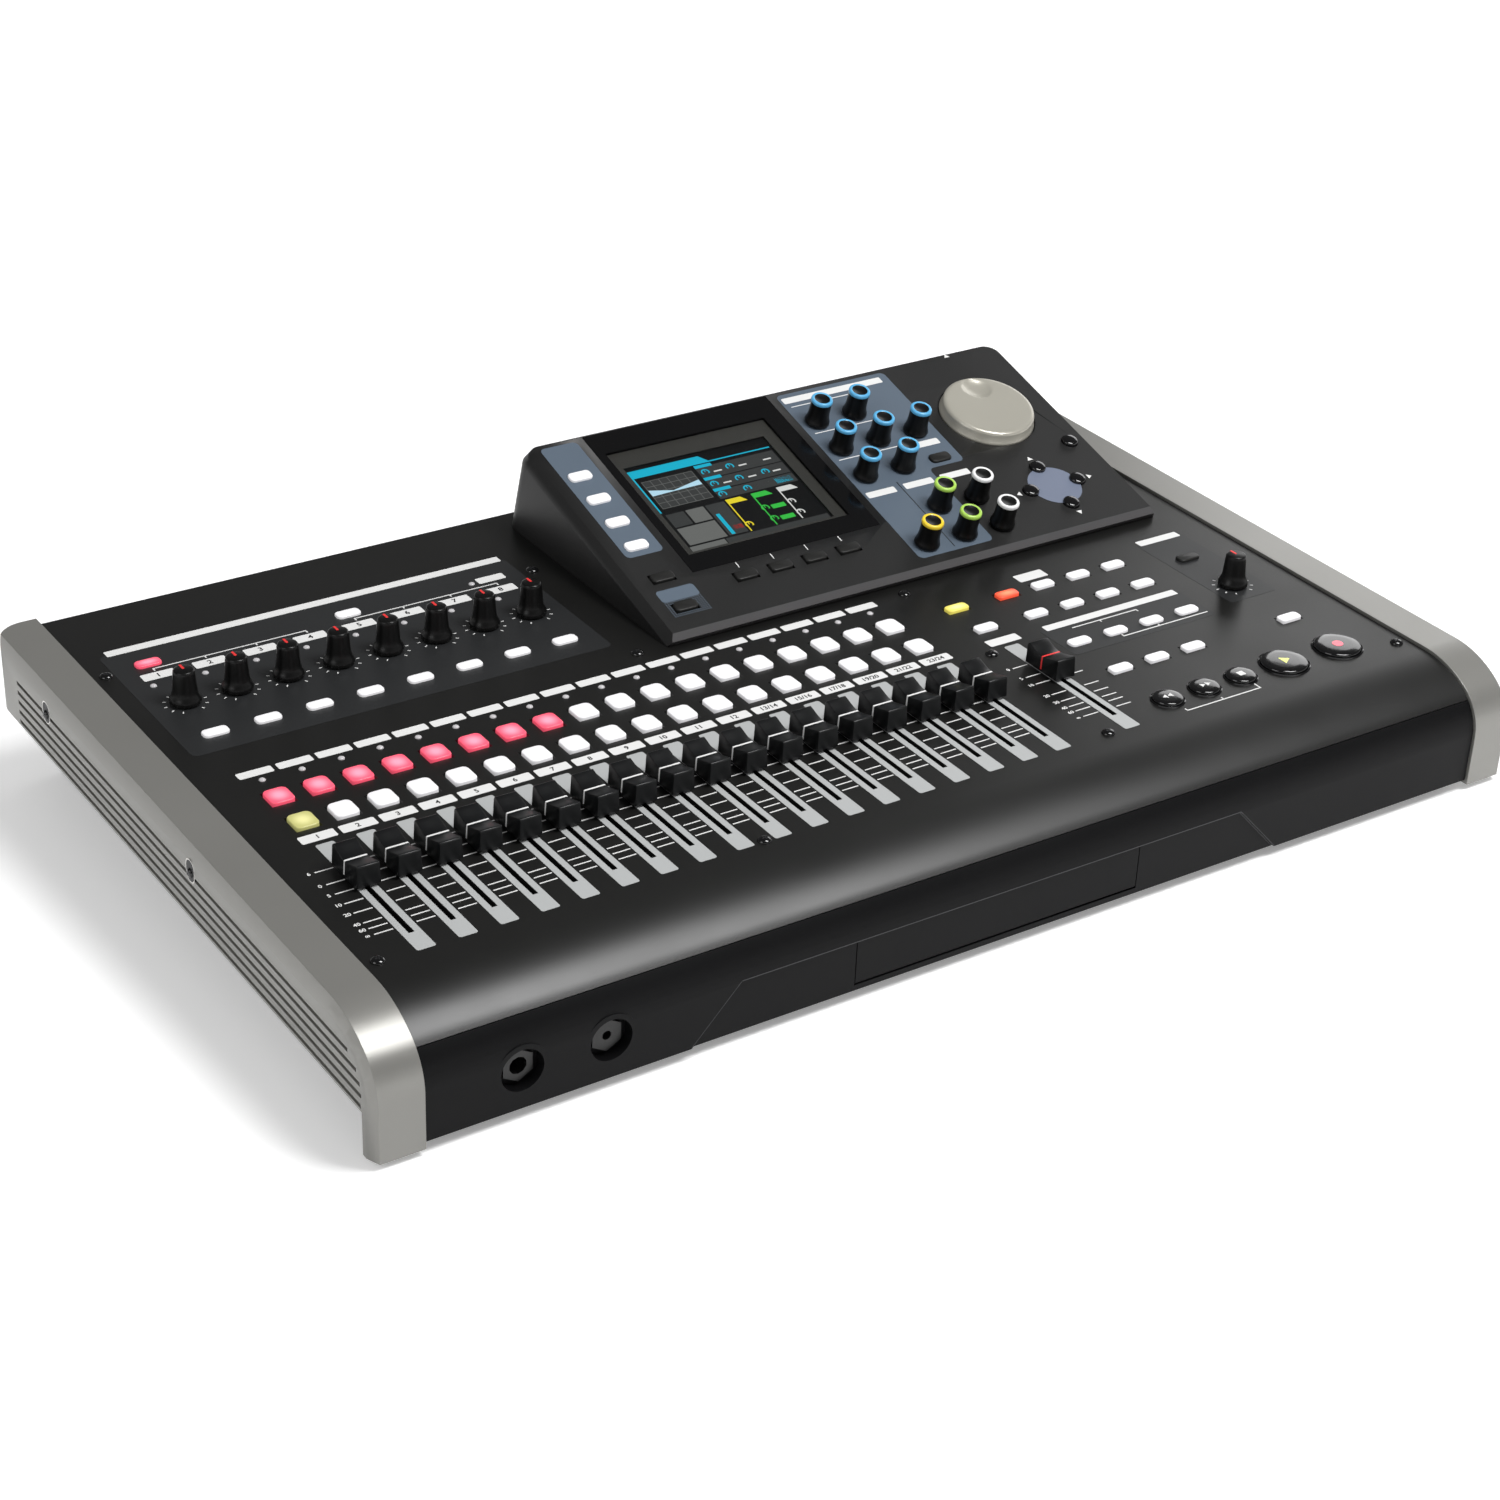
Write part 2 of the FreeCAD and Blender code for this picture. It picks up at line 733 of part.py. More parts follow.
def build_card_frame():
    """The frame set into the fascia: a plate with slanted ends and an opening for the card door, and
    two flanges that lap behind the fascia."""
    body = new_body("frame_body")
    drop = cell("fascia_drop")
    face = cell("nose_reach") - cell("inset_deep")
    rear = cell("nose_reach") - cell("fascia_thick")
    gap = cell("seam_gap")
    slant = gap * 1.5
    foot = cell("inset_foot") / 2 - slant
    top = cell("inset_top") / 2 - slant
    high = cell("inset_rise") - drop - gap
    plate = drawing(body, "XZ_Plane", "frame_outline", lift=face)
    outline(plate, [(foot, -drop), (top, high), (-top, high), (-foot, -drop)])
    pad(body, plate, "frame_plate", face - rear, backwards=True)
    flanges = drawing(body, "XZ_Plane", "frame_flanges", lift=rear)
    lap = cell("flange_lap")
    low = gap * 2 - drop
    for side in (-1, 1):
        inner = (top - lap) * side
        outer = (foot + lap) * side
        upper = low + cell("flange_tall")
        groove_at(flanges, [(inner, low), (outer, low), (outer, upper), (inner, upper)])
    pad(body, flanges, "flanges", cell("bay_wall"), backwards=True)

    window = drawing(body, "XZ_Plane", "door_window", lift=face)
    outline(window, door_outline(cell("door_gap")))
    pocket(body, window, "door_opening", cell("fascia_thick") * 2)
    return body


def door_outline(margin):
    """A rectangle all round the closed card door, from the lower right corner on."""
    half = cell("door_wide") / 2 + margin
    foot = cell("door_floor") + cell("door_gap") - cell("fascia_drop")
    low = foot - margin
    high = foot + cell("door_tall") + margin
    return [(half, low), (half, high), (-half, high), (-half, low)]


def build_card_tray():
    """The card bay: a shallow tray on the back of the frame, with the mouth of the card reader."""
    body = new_body("tray_body")
    rear = cell("nose_reach") - cell("fascia_thick")
    deep = cell("bay_deep") + cell("inset_deep") - cell("fascia_thick")
    wall = cell("bay_wall")
    shell = drawing(body, "XZ_Plane", "bay_outside", lift=rear)
    outline(shell, door_outline(cell("door_gap") + wall))
    pad(body, shell, "bay_shell", deep + wall, backwards=True)
    hollow = drawing(body, "XZ_Plane", "bay_inside", lift=rear)
    outline(hollow, door_outline(cell("door_gap")))
    pocket(body, hollow, "bay_hollow", deep)
    mouth = drawing(body, "XZ_Plane", "reader_mouth", lift=rear)
    middle = cell("door_floor") - cell("fascia_drop") + cell("door_tall") / 2
    wide = cell("card_wide") / 2
    low = middle - cell("card_thick") / 2
    high = middle + cell("card_thick") / 2
    outline(mouth, [(wide, low), (wide, high), (-wide, high), (-wide, low)])
    pocket(body, mouth, "card_mouth", deep + wall * 2)
    return body


def ring(sketch, x, y, wide):
    """One circle with its centre and radius bound."""
    index = sketch.addGeometry(
        Part.Circle(FreeCAD.Vector(x.value, y.value, 0), FreeCAD.Vector(0, 0, 1), wide.value / 2), False
    )
    pin_point(sketch, index, 3, x, y)
    radius = wide / 2
    bind(sketch, sketch.addConstraint(Sketcher.Constraint("Radius", index, radius.value)), radius)


def door_numbers():
    """The door's lower edge, its pins' height and the depth of its outer face, in panel terms."""
    low = num("door_floor") + num("door_gap") - num("fascia_drop")
    pin = low + num("pin_wide") / 2
    face = num("inset_deep") - num("nose_reach")
    return low, pin, face


def bar(x, y, z, wide, long):
    """An eight-sided bar along X, by the width over its flats."""
    shape = prism(0, 0, 0, long, wide / math.cos(math.pi / KEY_SIDES), KEY_SIDES)
    shape.Placement = FreeCAD.Placement(FreeCAD.Vector(x, y, z), FreeCAD.Rotation(FreeCAD.Vector(0, 1, 0), 90))
    return shape


def build_door():
    """The card door: a bar with rounded lower edge, a finger lip and a pin at each end."""
    low, pin, face = door_numbers()
    wide = num("door_wide")
    thick = num("door_thick")
    plate = Part.makeBox(
        wide, thick, num("door_tall") - num("pin_wide") / 2, FreeCAD.Vector(-wide / 2, face, pin)
    )
    barrel = bar(-wide / 2, face + thick / 2, pin, thick, wide)
    lip = Part.makeBox(
        wide / 4, thick, thick, FreeCAD.Vector(-wide / 8, face + thick, low + num("door_tall") - thick * 2)
    )
    stub = num("door_gap") / 2
    pins = bar(-wide / 2 - stub, face + thick / 2, pin, num("pin_wide") - num("door_gap"), wide + 2 * stub)
    solid = plate.fuse([barrel, lip, pins]).removeSplitter()
    item = doc.addObject("Part::Feature", "card_door")
    item.Shape = solid
    keep(item, "card_door", panel_frame)


def build_end(label, side):
    """An end panel: a proud top band that rolls down the front into a toe, over a ribbed side."""
    body = new_body(label + "_body")
    proud = cell("end_proud")
    wide = cell("nose_wide") + proud
    tight = cell("nose_tight") + proud
    rear = panel_rear + cell("end_overhang")
    front = tight_v - tight
    toe_back = front + cell("toe_thick")
    profile = drawing(body, "YZ_Plane", "end_profile", lift=inner_half * side)
    outline(profile, [
        (rear, proud),
        (nose_start, proud),
        (nose_start - wide * turn_sine, wide * turn_cosine - cell("nose_wide"), wide, 1),
        (front, tight_n, tight, 1),
        (front, -cell("toe_drop")),
        (toe_back, -cell("toe_drop")),
        (toe_back, -cell("rib_base")),
        (rear, -cell("rib_base")),
    ])
    pad(body, profile, "end_slab", cell("end_thick"), backwards=side < 0)

    # the bevel along the outer top edge, swept by cutting below the same two arcs made smaller
    doc.recompute()
    slab = body.Tip
    outer = (inner_half + cell("end_thick")) * side
    names = []
    for index, edge in enumerate(slab.Shape.Edges, start=1):
        middle = edge.valueAt((edge.FirstParameter + edge.LastParameter) / 2)
        on_top = middle.z > proud.value - 0.01
        on_nose = middle.y < toe_back.value - 1.0 and middle.z > 1.0 - cell("toe_drop").value
        if abs(middle.x - outer.value) < 0.01 and (on_top or on_nose):
            names.append("Edge%d" % index)
    bevel = body.newObject("PartDesign::Chamfer", "end_bevel")
    bevel.Base = (slab, names)
    bevel.ChamferType = "Two distances"
    bevel.setExpression("Size", "sizes.bevel_drop")
    bevel.setExpression("Size2", "sizes.bevel_side")

    # the rear outer corner is rounded in plan
    corner = cell("end_corner")
    plan = drawing(body, "XY_Plane", "end_corner", lift=proud + 1)
    plan_steps = [
        (outer - corner * side, rear + 1),
        (outer + side, rear + 1),
        (outer + side, rear - corner),
        (outer, rear - corner),
        (outer - corner * side, rear, corner, side),
    ]
    outline(plan, plan_steps)
    pocket(body, plan, "corner_cut", cell("rib_base") + proud + 2)

    # five grooves that stop short of the toe on a curve inside the nose
    inside = tight - cell("toe_thick")
    ribs = drawing(body, "YZ_Plane", "rib_grooves", lift=outer)
    rear_end = rear - cell("end_corner") * 2
    for index in range(int(num("rib_count"))):
        high = -cell("rib_top") - cell("rib_pitch") * index
        low = high - cell("rib_wide")
        middle = low - tight_n
        reach = inside * inside - middle * middle
        end = tight_v - root_of(reach)
        groove_at(ribs, [(end, low), (rear_end, low), (rear_end, high), (end, high)])
    pocket(body, ribs, "ribs", cell("rib_deep"), backwards=side < 0)
    keep(body, label, panel_frame)


def to_level(v, n):
    """A point of the panel's frame as world Y and Z."""
    y = v * level_cosine - n * level_sine + middle_y
    z = v * level_sine + n * level_cosine + cell("panel_lift")
    return y, z


def build_chassis():
    """A folded tray: base, sides that carry the panel, and the rear wall with its cut-outs."""
    body = new_body("chassis_body")
    thick = cell("chassis_thick")
    foot = cell("foot_tall")
    front, front_z = to_level(cell("fascia_thick") - cell("nose_reach"), -cell("fascia_drop"))
    front = front + cell("chassis_gap")
    knee, knee_z = to_level(cell("fascia_thick") - cell("nose_reach") + cell("chassis_gap"), tight_n - thick)
    top, top_z = to_level(nose_start, -cell("panel_thick"))
    wall = wall_length + middle_y
    under, under_z = to_level(panel_rear, -cell("panel_thick"))
    wall_z = under_z - (under - wall) * level_sine / level_cosine
    profile = drawing(body, "YZ_Plane", "chassis_side")
    outline(profile, [(front, foot), (wall, foot), (wall, wall_z), (top, top_z), (knee, knee_z)])
    pad(body, profile, "chassis_block", inner_half * 2, midplane=True)
    hollow = drawing(body, "YZ_Plane", "chassis_inside")
    outline(hollow, [
        (front - thick, foot + thick), (wall - thick, foot + thick), (wall - thick, wall_z + thick),
        (top, wall_z + thick), (front - thick, wall_z + thick),
    ])
    pocket(body, hollow, "chassis_hollow", inner_half * 2 - thick * 2, midplane=True)
    windows = drawing(body, "XZ_Plane", "rear_windows", lift=-wall)
    for left, right, low, high in rear_windows:
        slot = [(left, low), (right, low), (right, high), (left, high)]
        groove_at(windows, slot)
    pocket(body, windows, "rear_cuts", thick * 2, backwards=True)
    keep(body, "bottom_chassis", level)
    return body


def housing_panel_line(w):
    """The height of the panel's surface under the display housing, in the housing's frame."""
    return -(cell("display_lip") + w * tilt_sine) / tilt_cosine


def edges_where(shape, test):
    names = []
    for index, edge in enumerate(shape.Edges, start=1):
        middle = edge.valueAt((edge.FirstParameter + edge.LastParameter) / 2)
        if test(middle):
            names.append("Edge%d" % index)
    return names


def build_display():
    """The display housing: a wedge shell with its window rebate, key holes and jog wheel seat."""
    body = new_body("display_body")
    depth = display_depth
    bevel = cell("display_bevel")
    wall = cell("display_wall")
    zero = Length.of(0)
    toe = bevel * 0.5
    profile = drawing(body, "YZ_Plane", "display_profile")
    outline(profile, [
        (zero, zero), (-bevel, -bevel), (-toe, housing_panel_line(-toe)),
        (depth, housing_panel_line(depth)), (depth, zero),
    ])
    pad(body, profile, "display_block", display_width)

    # upright corners rounded in plan, then a sloped margin along the left and right edges
    doc.recompute()
    block = body.Tip
    width = display_width.value
    rear_edges = edges_where(
        block.Shape, lambda p: abs(p.y - depth.value) < 0.01 and (p.x < 0.01 or p.x > width - 0.01)
    )
    corners = body.newObject("PartDesign::Fillet", "display_corners")
    corners.Base = (block, rear_edges)
    corners.setExpression("Radius", "sizes.display_corner")
    doc.recompute()
    block = body.Tip
    side_edges = edges_where(
        block.Shape, lambda p: abs(p.z) < 0.01 and (p.x < 0.01 or p.x > width - 0.01)
    )
    margin = body.newObject("PartDesign::Chamfer", "display_margin")
    margin.Base = (block, side_edges)
    margin.ChamferType = "Two distances"
    margin.setExpression("Size", "sizes.display_edge_drop")
    margin.setExpression("Size2", "sizes.display_edge")

    inside = drawing(body, "YZ_Plane", "display_inside", lift=cell("display_corner"))
    start = wall * 2
    rear = depth - wall
    outline(inside, [
        (start, -wall), (start, housing_panel_line(start) - wall),
        (rear, housing_panel_line(rear) - wall), (rear, -wall),
    ])
    pocket(body, inside, "display_hollow", display_width - cell("display_corner") * 2, backwards=True)

    rebate = drawing(body, "XY_Plane", "window_rebate")
    left = cell("window_left")
    low = cell("window_low")
    high = depth - cell("window_top_margin")
    right = left + cell("window_wide")
    groove_at(rebate, [(left, low), (right, low), (right, high), (left, high)])
    pocket(body, rebate, "window_seat", cell("window_thick"))
    view = drawing(body, "XY_Plane", "screen_opening")
    left = left + cell("lcd_left")
    low = low + cell("lcd_low")
    right = left + cell("lcd_wide")
    high = low + cell("lcd_tall")
    groove_at(view, [(left, low), (right, low), (right, high), (left, high)])
    pocket(body, view, "screen_cut", wall * 2)
    seat = drawing(body, "XY_Plane", "jog_seat")
    ring(seat, jog_length, cell("jog_row"), cell("jog_seat"))
    pocket(body, seat, "jog_recess", cell("jog_seat_deep"))

    above = 1.0
    below = -num("display_wall") * 2
    clear = 2 * num("key_clear")
    tools = [
        box(x, w, below, num("key_wide") + clear, num("key_tall") + clear, above - below)
        for x, w in screen_key_spots
    ]
    tools += [prism(x, w, below, above, num("shaft_hole"), KEY_SIDES) for x, w in encoder_spots]
    tools += [prism(x, w, below, above, num("cursor_key") + clear, KEY_SIDES * 2) for x, w in cursor_spots]
    tools.append(prism(jog_x, num("jog_row"), below, above, num("jog_hub") + clear, ROUND_SIDES))
    cutter = doc.addObject("Part::Feature", "display_cutouts")
    cutter.Shape = Part.makeCompound(tools)
    cut = doc.addObject("Part::Cut", "display_cut")
    cut.Base = body
    cut.Tool = cutter
    keep(cut, "display_housing", display_frame)


def build_window():
    """The clear window over the screen, flush in its rebate."""
    body = new_body("window_body")
    glass = drawing(body, "XY_Plane", "window_outline", lift=-cell("window_thick"))
    gap = cell("window_clear")
    left = cell("window_left") + gap
    low = cell("window_low") + gap
    right = cell("window_left") + cell("window_wide") - gap
    high = display_depth - cell("window_top_margin") - gap
    groove_at(glass, [(left, low), (right, low), (right, high), (left, high)])
    pad(body, glass, "window_pane", cell("window_thick"))
    keep(body, "screen_window", display_frame)


def groove_at(sketch, corners):
    """A rectangle by its four corners, each pinned to the sheet."""
    first = sketch.GeometryCount
    points = [FreeCAD.Vector(Length.of(x).value, Length.of(y).value, 0) for x, y in corners]
    for index in range(4):
        sketch.addGeometry(Part.LineSegment(points[index], points[(index + 1) % 4]), False)
    for index in range(4):
        following = first + (index + 1) % 4
        sketch.addConstraint(Sketcher.Constraint("Coincident", first + index, 2, following, 1))
        pin_point(sketch, first + index, 1, Length.of(corners[index][0]), Length.of(corners[index][1]))


def polygon(x, y, z, wide, sides):
    """A regular polygon standing on flats, by the width of the circle round it."""
    turn = math.pi / sides
    points = [
        FreeCAD.Vector(
            x + wide / 2 * math.cos(turn * (2 * step + 1)), y + wide / 2 * math.sin(turn * (2 * step + 1)), z
        )
        for step in range(sides)
    ]
    return Part.makePolygon(points + points[:1])


def prism(x, y, low, high, wide, sides):
    return Part.Face(polygon(x, y, low, wide, sides)).extrude(FreeCAD.Vector(0, 0, high - low))


def faceted(x, y, levels, sides):
    """A turned shape in flat facets, from regular outlines given as (height, width) from the foot up."""
    rings = [[vertex.Point for vertex in polygon(x, y, z, wide, sides).Vertexes] for z, wide in levels]
    faces = [Part.Face(Part.makePolygon(ring + ring[:1])) for ring in (rings[0], rings[-1])]
    for lower, upper in zip(rings, rings[1:]):
        for index in range(sides):
            following = (index + 1) % sides
            corners = [lower[index], lower[following], upper[following], upper[index]]
            faces.append(Part.Face(Part.makePolygon(corners + corners[:1])))
    shell = Part.makeShell(faces)
    shell.sewShape()
    solid = Part.makeSolid(shell)
    if solid.Volume < 0:
        solid.reverse()
    return solid


def knob(label, spot, tall, levels, frame):
    """A knob faceted for grip. It turns on a shaft that runs down to the board."""
    x, y = spot
    grip = faceted(0, 0, levels, int(num("flute_count")))
    shaft = prism(0, 0, -board_top, tall / 2, num("shaft_wide"), KEY_SIDES)
    item = doc.addObject("Part::Feature", label)
    item.Shape = grip.fuse(shaft).removeSplitter()
    keep(item, label, frame * FreeCAD.Placement(FreeCAD.Vector(x, y, 0), FreeCAD.Rotation()))


def build_knobs():
    """Eight trims and the monitor knob on the panel, twelve encoders on the display housing."""
    tall = num("knob_tall")
    low = num("knob_clear")
    lean = 2 * (tall - num("skirt_tall")) * math.tan(math.radians(num("grip_taper")))
    bell = [
        (low, num("skirt_wide")), (low + num("skirt_rim"), num("skirt_wide")),
        (num("skirt_tall"), num("grip_wide")), (tall, num("grip_wide") - lean),
    ]
    labels = ["trim_knob_%d" % (index + 1) for index in range(len(input_xs))] + ["monitor_knob"]
    for label, spot in zip(labels, knob_spots):
        knob(label, spot, tall, bell, panel_frame)
    tall = num("encoder_tall")
    barrel = [
        (low, num("encoder_skirt")), (low + num("encoder_rim"), num("encoder_skirt")),
        (tall, num("encoder_grip")),
    ]
    for index, spot in enumerate(encoder_spots):
        knob("encoder_knob_%02d" % (index + 1), spot, tall, barrel, display_frame)


def build_jog():
    """The jog wheel: a disc with a bevelled rim, a hub below and an off-centre finger dimple."""
    wide = num("jog_wide")
    tall = num("jog_tall")
    edge = num("jog_edge")
    under = num("jog_clear") - num("jog_seat_deep")
    foot = -num("key_under") - num("key_travel")
    disc = faceted(0, 0, [(under, wide), (tall - edge, wide), (tall, wide - 2 * edge)], WHEEL_SIDES)
    hub = prism(0, 0, foot, under, num("jog_hub"), ROUND_SIDES)
    deep = num("dimple_deep")
    mouth = num("dimple_wide")
    hollow = [(tall - deep, mouth - 2 * deep), (tall, mouth), (tall + 1, mouth)]
    dimple = faceted(0, num("dimple_out"), hollow, KEY_SIDES * 2)
    item = doc.addObject("Part::Feature", "jog_disc")
    item.Shape = disc.fuse(hub).cut(dimple)
    spot = FreeCAD.Placement(FreeCAD.Vector(jog_x, num("jog_row"), 0), FreeCAD.Rotation())
    keep(item, "jog_wheel", display_frame * spot)


def build_faders():
    """Nineteen slide units under the slots, and a cap with its lever in each."""
    long = num("unit_long")
    wide = num("unit_wide")
    tall = num("unit_tall")
    top = -num("panel_thick")
    middle = num("slot_long") / 2
    units = []
    for x in fader_xs:
        block = box(x, middle, top - tall, wide, long, tall)
        channel = box(x, middle, top - tall + num("unit_floor"), num("slot_wide"), num("slot_long"), tall)
        units.append(block.cut(channel))
    group("fader_units", units, panel_frame)
    for index, x in enumerate(fader_xs):
        label = "fader_master" if index == len(channel_xs) else "fader_%02d" % (index + 1)
        build_cap(label, x)


def build_cap(label, x):
    """A fader cap with a dipped, two-humped back, on a flat lever."""
    body = new_body(label + "_body")
    half = cell("cap_long") / 2
    tall = cell("cap_tall")
    low = cell("cap_clear")
    dip = tall - cell("cap_dip")
    crown = cell("cap_crown")
    flat = cell("cap_flat")
    side = drawing(body, "YZ_Plane", "cap_side")
    outline(side, [
        (-half, low), (half, low), (half, tall - crown), (half - crown, tall),
        (half - crown * 2, tall), (flat, dip), (-flat, dip), (crown - half, tall), (-half, tall - crown * 0.5),
    ])
    pad(body, side, "cap_block", cell("cap_wide"), midplane=True)
    lever = drawing(body, "XY_Plane", "cap_lever", lift=low)
    across = cell("stem_wide") / 2
    along = cell("stem_long") / 2
    groove_at(lever, [(-across, -along), (across, -along), (across, along), (-across, along)])
    depth = low + cell("panel_thick") + cell("unit_tall") - cell("unit_floor") - cell("stem_gap")
    pad(body, lever, "lever", depth, backwards=True)
    spot = FreeCAD.Placement(FreeCAD.Vector(x, num("fader_rest"), 0), FreeCAD.Rotation())
    keep(body, label, panel_frame * spot)


def keys_of(spots, wide, tall, top, bottom):
    return [key_block(x, y, bottom, top, wide, tall, num("key_corner")) for x, y in spots]


def build_keys():
    """Every push key, in five sets that each share a joint."""
    top = num("key_proud")
    bottom = -num("key_under")
    wide = num("key_wide")
    tall = num("key_tall")
    group("track_buttons", keys_of(
        track_key_spots, num("track_key"), num("track_key_tall"), top, bottom), panel_frame)
    group("panel_buttons", keys_of(panel_key_spots, wide, tall, top, bottom), panel_frame)
    group("screen_buttons", keys_of(screen_key_spots, wide, tall, top, bottom), display_frame)
    high = num("round_proud")
    rounds = [prism(x, y, bottom, high, num("small_key"), ROUND_SIDES) for x, y in small_spots]
    rounds += [prism(x, y, bottom, high, num("big_key"), ROUND_SIDES) for x, y in big_spots]
    group("transport_buttons", rounds, panel_frame)
    cursors = [prism(x, y, bottom, high, num("cursor_key"), KEY_SIDES * 2) for x, y in cursor_spots]
    group("cursor_buttons", cursors, display_frame)


def slab(left, right, near, far, top):
    """A board by its four edges, with its upper face at a height."""
    thick = num("board_thick")
    return Part.makeBox(right - left, far - near, thick, FreeCAD.Vector(left, near, top - thick))


def carried(board, posts, top, reach):
    """A board fused with the posts that hold it to the sheet above."""
    wide = num("post_wide")
    return board.fuse([box(x, y, top, wide, wide, reach) for x, y in posts]).removeSplitter()


def build_boards():
    """Circuit boards under the keys and knobs, the screen module, the card reader and the main board."""
    top = -board_top - num("stem_gap")
    reach = -num("panel_thick") - top
    margin = num("board_margin")
    pot = num("pot_wide")
    left = first_strip.value - margin
    right = last_x.value + margin
    middle_row = (rec_row.value + num("select_row")) / 2
    deep = num("board_margin") + num("track_key_tall") / 2
    solids = []

    # under the REC and SELECT rows and the function keys beside them
    low = middle_row - num("rec_rise") / 2 - deep
    high = middle_row + num("rec_rise") / 2 + deep
    inset = num("board_post_inset")
    ends = [(left + inset, middle_row), (right - inset, high - inset)]
    gap = (channel_xs[8] + channel_xs[9]) / 2
    solids.append(carried(slab(left, right, low, high, top), ends + [(gap, middle_row)], top, reach))

    # under the locate, punch and transport keys, clear of the master fader's unit
    low_edge = transport_row.value - num("big_key") / 2
    near = column_xs[0] - margin
    posts = [(near + 3, locate_row.value - 12), (right - 3, punch_row.value + 14)]
    solids.append(carried(slab(near, right, low_edge, low - 2, top), posts, top, reach))

    # under the source keys, trims and phantom keys
    low = num("source_row") - margin
    high = phantom_row.value + margin
    far = input_xs[-1] + margin
    posts = [(left + 3, trim_row.value + 16), (far - 3, trim_row.value + 16)]
    solids.append(carried(slab(left, far, low, high, top), posts, top, reach))

    # pot bodies hang under the boards
    under = top - num("board_thick")
    for x, y in knob_spots:
        solids.append(box(x, y, under - pot / 2, pot, pot, pot / 2))

    # the display board, one piece round the screen, with the encoder bodies under it
    edge = num("display_corner") + num("pin_wide")
    far_x = display_width.value - edge
    strip = slab(edge, far_x, edge, num("soft_row") + margin, top)
    column = slab(edge, num("key_column") + margin, edge, num("mode_top") + margin, top)
    field = slab(encoder_xs[0] - margin, far_x, edge, row_ws[4] + margin, top)
    inset = num("board_post_inset")
    posts = [
        (far_x - inset, edge + inset),
        (far_x - inset, row_ws[4] + inset),
        (edge + inset, num("mode_top") - num("mode_pitch") / 2),
    ]
    board = strip.fuse([column, field])
    board = carried(board, posts, top, -num("display_wall") - top)
    housed = [board]
    deep_rows = [spot for spot in encoder_spots if spot[1] > row_ws[1]]
    for x, w in deep_rows:
        housed.append(box(x, w, under - pot / 2, pot, pot, pot / 2))
    border = num("lcd_border")
    housed.append(Part.makeBox(
        num("lcd_wide") + 2 * border, num("lcd_tall") + 2 * border, num("lcd_thick"),
        FreeCAD.Vector(
            num("window_left") + num("lcd_left") - border, num("window_low") + num("lcd_low") - border,
            -num("display_wall") - num("lcd_thick"),
        ),
    ))
    for solid in housed:
        solid.Placement = display_in_panel
        solids.append(solid)

    # the card reader behind the bay, open towards the card mouth
    bay_back = num("bay_deep") + num("bay_wall") + num("inset_deep") - num("nose_reach")
    height = num("door_floor") - num("fascia_drop") + num("door_tall") / 2
    wide = num("reader_wide")
    tall = num("reader_tall")
    reader = Part.makeBox(
        wide, num("reader_deep"), tall, FreeCAD.Vector(-wide / 2, bay_back, height - tall / 2)
    )
    slot = Part.makeBox(
        num("card_wide"), num("reader_deep") - num("bay_wall"), num("card_thick"),
        FreeCAD.Vector(-num("card_wide") / 2, bay_back, height - num("card_thick") / 2),
    )
    solids.append(reader.cut(slot))

    # the main board stands on posts on the chassis
    floor = num("foot_tall") + num("chassis_thick")
    lift = num("main_board_lift")
    centre = num("main_board_right")
    wide = num("main_board_wide")
    deep = num("main_board_deep")
    plate = slab(centre - wide / 2, centre + wide / 2, -deep / 2, deep / 2, floor + lift)
    reach_x = wide / 2 - num("main_post_inset")
    reach_y = deep / 2 - num("main_post_inset")
    high = lift - num("board_thick")
    posts = [
        box(centre + sx * reach_x, sy * reach_y, floor, num("post_wide"), num("post_wide"), high)
        for sx in (-1, 1) for sy in (-1, 1)
    ]
    plate = plate.fuse(posts).removeSplitter()
    plate.Placement = panel_frame.inverse()
    solids.append(plate)
    group("circuit_boards", solids, panel_frame)


def build_front_jacks():
    """The phones and remote sockets in their recesses: a ring, a barrel and a body behind."""
    floor = num("recess_deep") - num("nose_reach")
    height = -num("recess_drop")
    sides = int(num("flute_count"))
    jacks = []
    for x, bore in ((phones_x, num("jack_bore")), (remote_x, num("remote_bore"))):
        nut = upright(x, height, floor - num("jack_proud"), floor, num("jack_nut"), NUT_SIDES)
        barrel = upright(x, height, floor, floor + num("recess_wall"), num("jack_wide"), sides)
        side = num("jack_nut")
        behind = floor + num("recess_wall")
        block = Part.makeBox(side, num("jack_deep"), side, FreeCAD.Vector(x - side / 2, behind, height - side / 2))
        mouth = floor - 2 * num("jack_proud")
        hole = upright(x, height, mouth, mouth + num("jack_deep"), bore, sides)
        jacks.append(nut.fuse([barrel, block]).removeSplitter().cut(hole))
    for jack in jacks:
        jack.Placement = panel_frame
    return jacks


def rear_plate(window):
    """A plate that fills one window of the rear wall, a hair smaller all round."""
    left, right, low, high = [edge.value for edge in window]
    gap = num("window_clear")
    deep = num("plate_thick")
    return Part.makeBox(
        right - left - 2 * gap, deep, high - low - 2 * gap,
        FreeCAD.Vector(left + gap, rear_wall - deep, low + gap),
    )


def upright(x, z, near, far, wide, sides):
    """A prism that runs front to back, from one depth to another."""
    shape = prism(0, 0, 0, far - near, wide, sides)
    shape.Placement = FreeCAD.Placement(FreeCAD.Vector(x, far, z), FreeCAD.Rotation(ACROSS, 90))
    return shape


